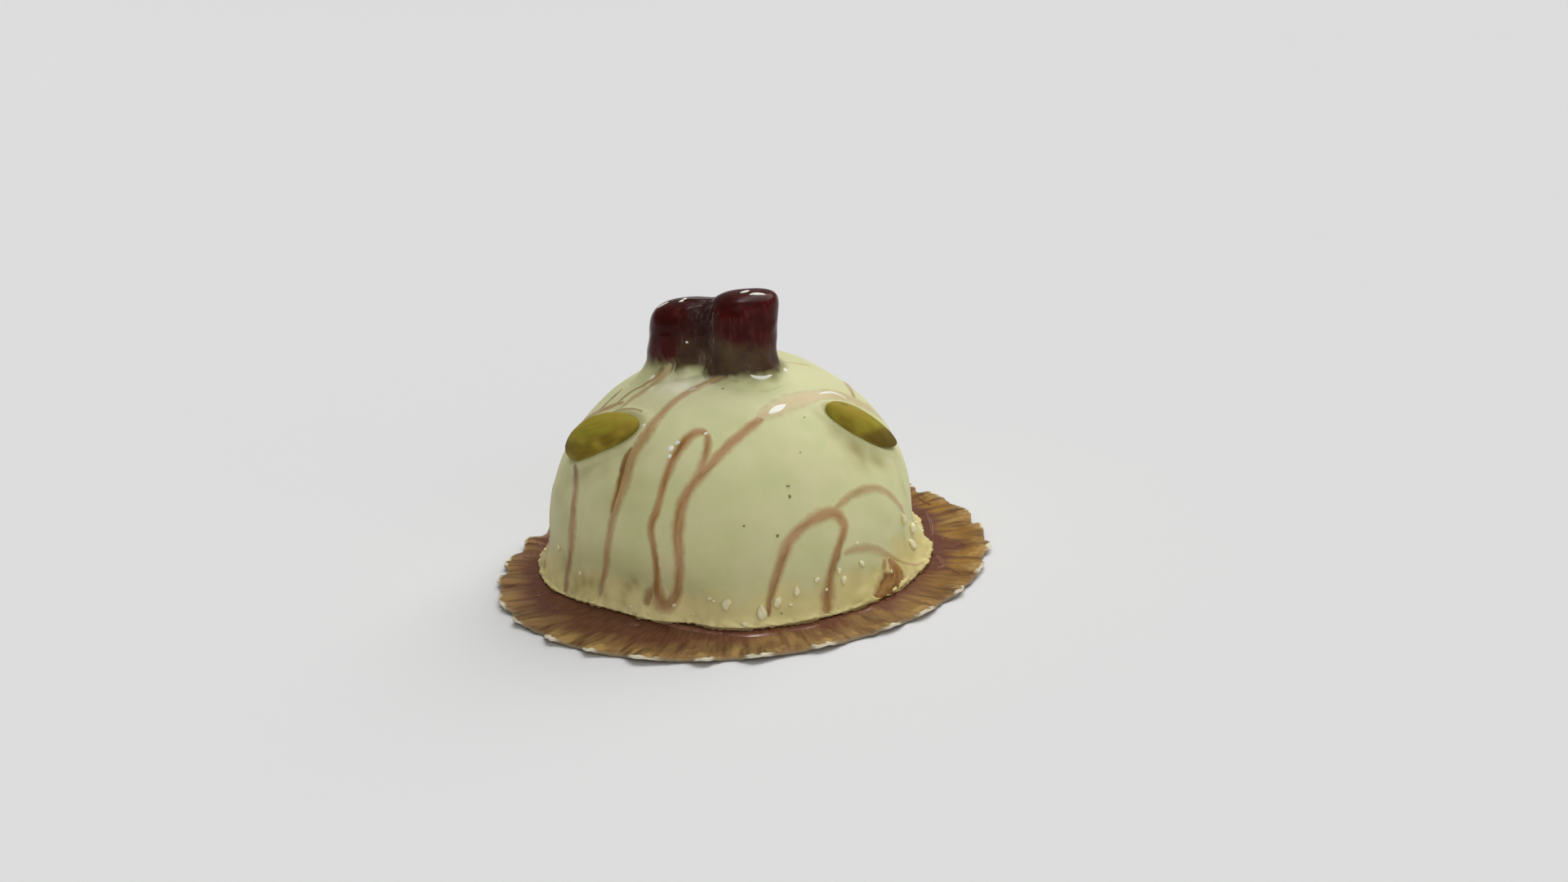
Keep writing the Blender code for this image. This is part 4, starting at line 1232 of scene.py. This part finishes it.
# The rings run along the kernel, from its narrow end at +X to its blunt end.
kernel_ball = turned(np.sin(kernel_turns), whole_turn(KERNEL_STEPS), np.cos(kernel_turns))
across, under, along = np.moveaxis(kernel_ball, -1, 0)
narrow = 1.0 - KERNEL_NARROWING * along - KERNEL_POINTING * along * along
for number, (nut_name, *nut_pose, length, width, bow, low_shade_strength) in enumerate(PISTACHIOS):
    kernel = np.stack((
        along * length / 2.0,
        (across * narrow + bow * along * along) * width / 2.0,
        -under * narrow * KERNEL_THICKNESS * width / 2.0,
    ), axis=-1)
    grain = kernel * GRAIN_STRETCH + number * 0.03
    wrinkle = unevenness(grain, WRINKLE_PITCH, 71 + number) * np.sin(kernel_turns)
    inwards = -kernel / (np.linalg.norm(kernel, axis=-1, keepdims=True) + 1e-9)
    kernel = kernel + inwards * (WRINKLE_DEPTH * (1.2 + wrinkle))[..., None]
    matrix = nut_place(*nut_pose)
    kernel_rings = in_place(kernel, matrix)
    facing = kernel_rings - np.array(matrix.translation)
    downness = -facing[..., 2] / (np.linalg.norm(facing, axis=-1) + 1e-9)
    # Painted shade: the kernel is laid browner on the side that faces down, as well as where skin clings.
    skin = 0.85 * smooth_share(-0.60, 0.35, downness + 0.45 * unevenness(kernel, 0.004, 75 + number))
    blotches = smooth_share(0.4, 1.1, unevenness(kernel, 0.0034, 79 + number))
    # Painted shade: dark blotches on the lower side of the nut, where it overhangs a hollow.
    wet = low_shade_strength * smooth_share(-0.1, 0.55, downness) * (0.55 + 0.45 * blotches)
    over_glaze = [cake_skin.find_nearest(Vector(point))[3] for point in kernel_rings.reshape(-1, 3)]
    over_glaze = np.array(over_glaze).reshape(along.shape)
    film = 0.7 * smooth_share(0.0006, 0.0, over_glaze + 0.0001 * unevenness(kernel, 0.003, 83 + number))
    notes = ring_notes(skin=skin, wet=wet, film=film, grain=grain)
    piece = new_piece(nut_name + "_kernel", *ring_faces(kernel_rings), pistachio_kernel, notes)
    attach(piece, "root")
    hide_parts(nut_name)


# ---- the sauce on the card
# Threads and spots of thin chocolate sauce that missed the cake. They lie on the card's creases,
# pinkish brown and still wet.

SAUCE_PITCH = 0.0014
SAUCE_PINK = "#b88674"
SAUCE_DARK = "#6e3e2e"
SAUCE_THICKNESS = 0.00022
SAUCE_FADE = 0.0002

# Photo pixels across and down, then width in millimetres.
SEEN_THREADS = (
    ((1134, 628, 0.5), (1139, 637, 0.7), (1141, 646, 0.7), (1141, 656, 0.5)),
    ((1141, 679, 0.6), (1147, 681, 0.8), (1152, 686, 0.8), (1155, 692, 0.6), (1152, 695, 0.5)),
    ((1153, 694, 0.5), (1148, 695, 0.6), (1144, 692, 0.6), (1140, 687, 0.5)),
    ((1147, 657, 0.4), (1156, 659, 0.7), (1166, 662, 0.7), (1182, 667, 0.4)),
    ((1159, 695, 0.4), (1167, 699, 0.6), (1177, 704, 0.4)),
    ((655, 729, 0.4), (659, 729, 0.6), (663, 729, 0.4)),
    ((674, 743, 0.5), (679, 744, 0.8), (684, 746, 0.5)),
    ((769, 763, 1.0), (776, 764, 2.2), (784, 765, 1.2)),
    (
        (812, 762, 0.5), (826, 766, 1.3), (842, 769.5, 1.7), (860, 772.5, 1.6), (876, 775, 1.1),
        (886, 776, 0.5),
    ),
    ((888, 776, 0.5), (902, 777.5, 1.4), (918, 778, 1.7), (936, 777, 1.2), (952, 776, 0.5)),
    ((962, 773.5, 0.4), (975, 771, 0.9), (990, 768.5, 1.0), (1004, 765, 0.4)),
    ((1048, 752, 0.4), (1060, 748, 0.8), (1070, 743, 0.5)),
)
# Round the far side: azimuth, radius in millimetres, width in millimetres.
FAR_THREADS = (
    ((24, 45.0, 0.4), (27, 44.2, 0.7), (30, 44.6, 0.6), (33, 46.0, 0.4)),
    ((72, 44.5, 0.4), (74, 46.0, 0.7), (77, 46.6, 0.6), (79, 45.6, 0.4)),
    ((118, 43.6, 0.6), (121, 43.8, 1.2), (124, 43.6, 0.6)),
    ((158, 46.2, 0.4), (161, 45.2, 0.6), (165, 45.0, 0.6), (168, 45.8, 0.4)),
)


def card_point(azimuth, radius):
    """The point of the card's top at an azimuth in degrees and a radius in millimetres."""
    above = turned(radius / 1000.0, math.radians(azimuth), 0.01)
    return card_skin.find_nearest(Vector(above))[0]


# Thin sauce: wet and sharply shiny, pink-brown where thin and dark where it stands thicker.
card_sauce, tree = new_material("card_sauce")
place = add_node(tree, "TexCoord").outputs["Object"]
sauce_noise = add_node(tree, "TexNoise", {"Vector": place, "Scale": 1.0 / SAUCE_PITCH, "Detail": 2.0})
within = add_node(tree, "Math", {0: "edge", 1: -0.6, 2: 0.5}, operation="MULTIPLY_ADD")
thick = add_node(tree, "Math", {0: sauce_noise, 1: within}, operation="ADD", use_clamp=True)
sauce_mix = {0: thick, 6: linear(SAUCE_PINK), 7: linear(SAUCE_DARK)}
sauce_colour = add_node(tree, "Mix", sauce_mix, data_type="RGBA")
sauce_look = {"Base Color": sauce_colour, "Roughness": 0.22, "IOR": 1.40}
add_node(tree, "OutputMaterial", {"Surface": add_node(tree, "BsdfPrincipled", sauce_look)})

threads = [
    ({}, placed(stops, place))
    for rows, place in ((SEEN_THREADS, partial(seen_on, card_skin)), (FAR_THREADS, card_point))
    for stops in rows
]
thread_points, thread_faces, notes = laid_strands(threads, card_skin, SAUCE_THICKNESS, 90, SAUCE_FADE)
sauce_threads = new_piece("sauce_threads", thread_points, thread_faces, card_sauce, notes)
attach(sauce_threads, "root")


# ---- the cream crumbs and painted glints
# Pale cream lumps in the glaze, mostly round the foot. Most are painted spots of light thrown
# up from the card's bright scallop tips, built as bits of white chocolate and blanched nut.

CRUMB_STEPS = 20
CRUMB_TURNS = np.linspace(8.0, 172.0, 11)  # its rings, in degrees from the top
CRUMB_LUMPINESS = 0.16
CRUMB_PITCH = 0.0006
CRUMB_SINK = 0.34
GLINT_CREAM = "#fbf6d3"
GLINT_YELLOW = "#f6ecb6"
GLINT_FILM = "#e6dca2"

# Photo pixels, then length, width and thickness in millimetres and the turn in degrees.
SEEN_GLINT_CRUMBS = (
    (869, 733, 1.1, 0.8, 0.6, 20), (874, 736, 0.8, 0.6, 0.5, 50), (890, 740, 2.5, 1.7, 0.9, 60),
    (933, 751, 3.2, 1.7, 1.0, 95), (952, 738, 2.2, 1.5, 0.9, 70), (975, 724, 2.0, 1.1, 0.8, 80),
    (1000, 710, 1.2, 0.9, 0.6, 30), (1027, 699, 1.3, 0.9, 0.6, 80), (1033, 710, 1.7, 1.1, 0.7, 70),
    (1055, 690, 1.4, 0.8, 0.6, 120), (912, 765, 1.4, 1.0, 0.6, 0), (711, 702, 1.0, 0.7, 0.6, 80),
    (772, 743, 0.9, 0.7, 0.5, 0), (826, 741, 0.9, 0.8, 0.6, 0), (1106, 636, 2.3, 1.2, 1.0, 100),
    (1116, 647, 2.3, 1.8, 1.3, 60), (1121, 640, 0.8, 0.6, 0.5, 0), (1116, 667, 2.6, 1.7, 1.3, 110),
    (1049, 665, 0.7, 0.5, 0.4, 30), (685, 670, 1.3, 1.0, 0.6, 90), (794, 751, 0.7, 0.6, 0.4, 0),
    (848, 752, 0.6, 0.5, 0.4, 0), (968, 741, 0.8, 0.6, 0.5, 0), (1012, 722, 0.7, 0.5, 0.4, 40),
)
FAR_GLINT_CRUMBS = 46


def lump_rings(centre, axis, size, turn, seed):
    """The rings of one small lump: its shortest side lies along the axis."""
    turns = np.radians(CRUMB_TURNS)[:, None]
    ball = turned(np.sin(turns), whole_turn(CRUMB_STEPS), np.cos(turns))
    lumpy = CRUMB_LUMPINESS * unevenness(ball, 1.4, np.random.default_rng(seed).integers(1000))
    level = axis.cross(Vector((0.0, 0.0, 1.0)))
    level = level.normalized() if level.length > 0.01 else Vector((1.0, 0.0, 0.0))
    axes = Matrix((level, axis.cross(level), axis)).transposed().to_4x4()
    spin = Matrix.Rotation(math.radians(turn), 4, "Z")
    lump = ball * (1.0 + lumpy)[..., None] * size / 2.0
    return in_place(lump, Matrix.Translation(centre) @ axes @ spin)


def scattered(seen, far_count, far_size, sink, seed):
    """Lumps where the photo shows them, and the same kind spread over the side it doesn't show."""
    chance = np.random.default_rng(seed)
    spots = [(seen_on(cake_skin, *row[:2]), row[2:5], row[5]) for row in seen]
    for _ in range(far_count):
        azimuth = chance.uniform(12.0, 172.0)
        height = 1.2 + 9.0 * chance.random() ** 2.2 + far_size * 8.0 * chance.random()
        long = chance.uniform(0.7, 1.5) * (1.0 if far_size < 1.0 else 0.45)
        size = (long, long * chance.uniform(0.55, 0.9), long * chance.uniform(0.4, 0.6))
        spots.append((side_point(azimuth, height), size, chance.uniform(0.0, 180.0)))
    lumps = []
    for number, (point, size, turn) in enumerate(spots):
        found, normal = cake_skin.find_nearest(point)[:2]
        size = np.array(size) / 1000.0
        lumps.append(lump_rings(found + normal * size[2] * (0.5 - sink), normal, size, turn, seed + number))
    return lumps


# Painted light, built as white chocolate and nut under a film of glaze: pale cream,
# soft-edged, with a waxy shine.
glint_crumb_cream, tree = new_material("glint_crumb_cream")
place = add_node(tree, "TexCoord").outputs["Object"]
glint_noise = add_node(tree, "TexNoise", {"Vector": place, "Scale": 1.0 / CRUMB_PITCH, "Detail": 2.0})
glint_colour = linear(GLINT_CREAM)
for share, coat in ((glint_noise, GLINT_YELLOW), ("low", GLINT_FILM)):
    glint_colour = add_node(tree, "Mix", {0: share, 6: glint_colour, 7: linear(coat)}, data_type="RGBA")
glint_look = {"Base Color": glint_colour, "Roughness": 0.45, "IOR": 1.30}
add_node(tree, "OutputMaterial", {"Surface": add_node(tree, "BsdfPrincipled", glint_look)})

# Painted light: most of these lumps stand where light from the card's scallop tips glints on the glaze.
glint_lumps = scattered(SEEN_GLINT_CRUMBS, FAR_GLINT_CRUMBS, 0.0, CRUMB_SINK, 101)
low = np.repeat(smooth_share(45.0, 88.0, CRUMB_TURNS)[:, None], CRUMB_STEPS, axis=1)
notes = joined_notes([{"low": low}] * len(glint_lumps))
glint_crumbs = new_piece("glint_crumbs", *joined_rings(glint_lumps), glint_crumb_cream, notes)
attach(glint_crumbs, "root")


# ---- the flecks of pistachio skin
# Tiny scraps of the nuts' brown skin that came off into the glaze.

FLECK_PITCH = 0.0008
FLECK_SINK = 0.30
FLECK_OLIVE = "#949058"
FLECK_BROWN = "#706c46"

# Photo pixels, then length, width and thickness in millimetres and the turn in degrees.
SEEN_FLECKS = (
    (967, 608, 0.7, 0.5, 0.3, 80), (965, 595, 0.7, 0.35, 0.2, 160), (980, 554, 0.3, 0.2, 0.2, 0),
    (985, 511, 0.4, 0.2, 0.2, 20), (911, 644, 0.5, 0.4, 0.2, 0), (952, 656, 0.6, 0.5, 0.3, 40),
    (957, 751, 0.4, 0.3, 0.2, 0), (885, 476, 0.5, 0.3, 0.2, 0), (866, 469, 0.3, 0.3, 0.2, 0),
)
FAR_FLECKS = 14

# Nut skin: dull dark olive, matt.
skin_fleck, tree = new_material("pistachio_skin_fleck")
place = add_node(tree, "TexCoord").outputs["Object"]
fleck_noise = add_node(tree, "TexNoise", {"Vector": place, "Scale": 1.0 / FLECK_PITCH, "Detail": 1.0})
fleck_mix = {0: fleck_noise, 6: linear(FLECK_OLIVE), 7: linear(FLECK_BROWN)}
fleck_colour = add_node(tree, "Mix", fleck_mix, data_type="RGBA")
fleck_surface = add_node(tree, "BsdfPrincipled", {"Base Color": fleck_colour, "Roughness": 0.6})
add_node(tree, "OutputMaterial", {"Surface": fleck_surface})

flecks = scattered(SEEN_FLECKS, FAR_FLECKS, 3.0, FLECK_SINK, 151)
skin_flecks = new_piece("pistachio_skin_flecks", *joined_rings(flecks), skin_fleck)
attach(skin_flecks, "root")


# ---- the painted highlights
# White painted highlights, laid as thin glossy smears on the drizzle, on the cherries' tops and
# beside the nuts, where the light glints.

HIGHLIGHT_WHITE = "#fcf9ee"
HIGHLIGHT_MINT = "#d3d9c0"
HIGHLIGHT_THICKNESS = 0.00005  # over the drizzle's

# How white, then photo pixels along the smear and its width in millimetres at each.
SEEN_HIGHLIGHTS = (
    (1.0, ((940, 508, 1.2), (947, 503, 2.6), (955, 499, 3.0), (964, 495, 1.6))),
    (1.0, ((1002, 483, 0.6), (1011, 481, 1.3), (1021, 481.5, 1.6), (1030, 485, 1.1), (1037, 489, 0.5))),
    (1.0, ((819, 563, 1.4), (821, 558.5, 2.7), (822, 555, 1.8))),
    (1.0, ((821, 553, 1.6), (822, 549.5, 2.8), (825, 546, 1.7))),
    (0.5, ((826, 545, 1.1), (830, 542.5, 2.2), (835, 541, 1.1))),
    (0.4, ((842, 479.5, 0.4), (848, 477, 0.9), (854, 474, 0.5))),
    (0.9, ((861, 532, 0.7), (864, 531, 1.4), (867, 530, 0.7))),
    (0.8, ((785, 522, 0.5), (788, 521, 1.1), (791, 519, 0.5))),
    (0.9, ((794, 466, 0.4), (799, 462, 1.0), (803, 459, 0.4))),
    (0.9, ((918, 459, 0.4), (926, 462, 0.9), (936, 462.5, 0.9), (946, 459, 0.4))),
    (0.7, ((1091, 696, 0.3), (1091.5, 700, 0.8), (1092, 704, 0.3))),
    (0.8, ((960, 450, 0.6), (962, 453, 1.2), (964, 456, 0.7))),
    (0.55, ((906, 359, 0.5), (912, 357, 1.4), (918, 355.5, 0.6))),
    (0.75, ((917, 361, 0.6), (925, 359.5, 1.6), (933, 360, 1.1), (938, 361, 0.5))),
    (0.7, ((831, 370, 0.6), (835, 368, 1.3), (841, 365, 0.6))),
    (0.55, ((804, 378, 0.4), (810, 374, 0.9), (819, 370, 0.5))),
    (0.6, ((839, 419, 0.4), (841, 419, 0.7), (843, 420, 0.4))),
)
# Round the far side: azimuth, height over the cake's floor and width in millimetres.
FAR_HIGHLIGHTS = (
    (0.9, ((112, 33.0, 0.4), (113, 31.5, 1.2), (112, 30.0, 0.6))),
    (0.9, ((30, 26.0, 0.4), (33, 24.5, 0.9), (35, 23.0, 0.4))),
    (0.8, ((-182, 30.5, 0.4), (-185, 29.0, 0.8), (-188, 27.6, 0.4))),
)

# Painted highlight: almost white and glassy, greener where it lies thin.
painted_highlight_film, tree = new_material("painted_highlight_film")
highlight_mix = {0: "white", 6: linear(HIGHLIGHT_MINT), 7: linear(HIGHLIGHT_WHITE)}
highlight_colour = add_node(tree, "Mix", highlight_mix, data_type="RGBA")
highlight_look = {"Base Color": highlight_colour, "Roughness": 0.15, "IOR": 1.40}
add_node(tree, "OutputMaterial", {"Surface": add_node(tree, "BsdfPrincipled", highlight_look)})

# Painted highlights: white smears laid where the light glints.
highlight_smears = [
    ({"white": highlight_strength}, placed(stops, place))
    for rows, place in ((SEEN_HIGHLIGHTS, partial(seen_on, topped_skin)), (FAR_HIGHLIGHTS, side_point))
    for highlight_strength, stops in rows
]
highlight_thickness = HIGHLIGHT_THICKNESS + STRAND_THICKNESS
highlight_points, highlight_faces, notes = laid_strands(highlight_smears, topped_skin, highlight_thickness, 120)
painted_highlights = new_piece("painted_highlights", highlight_points, highlight_faces, painted_highlight_film, notes)
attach(painted_highlights, "root")
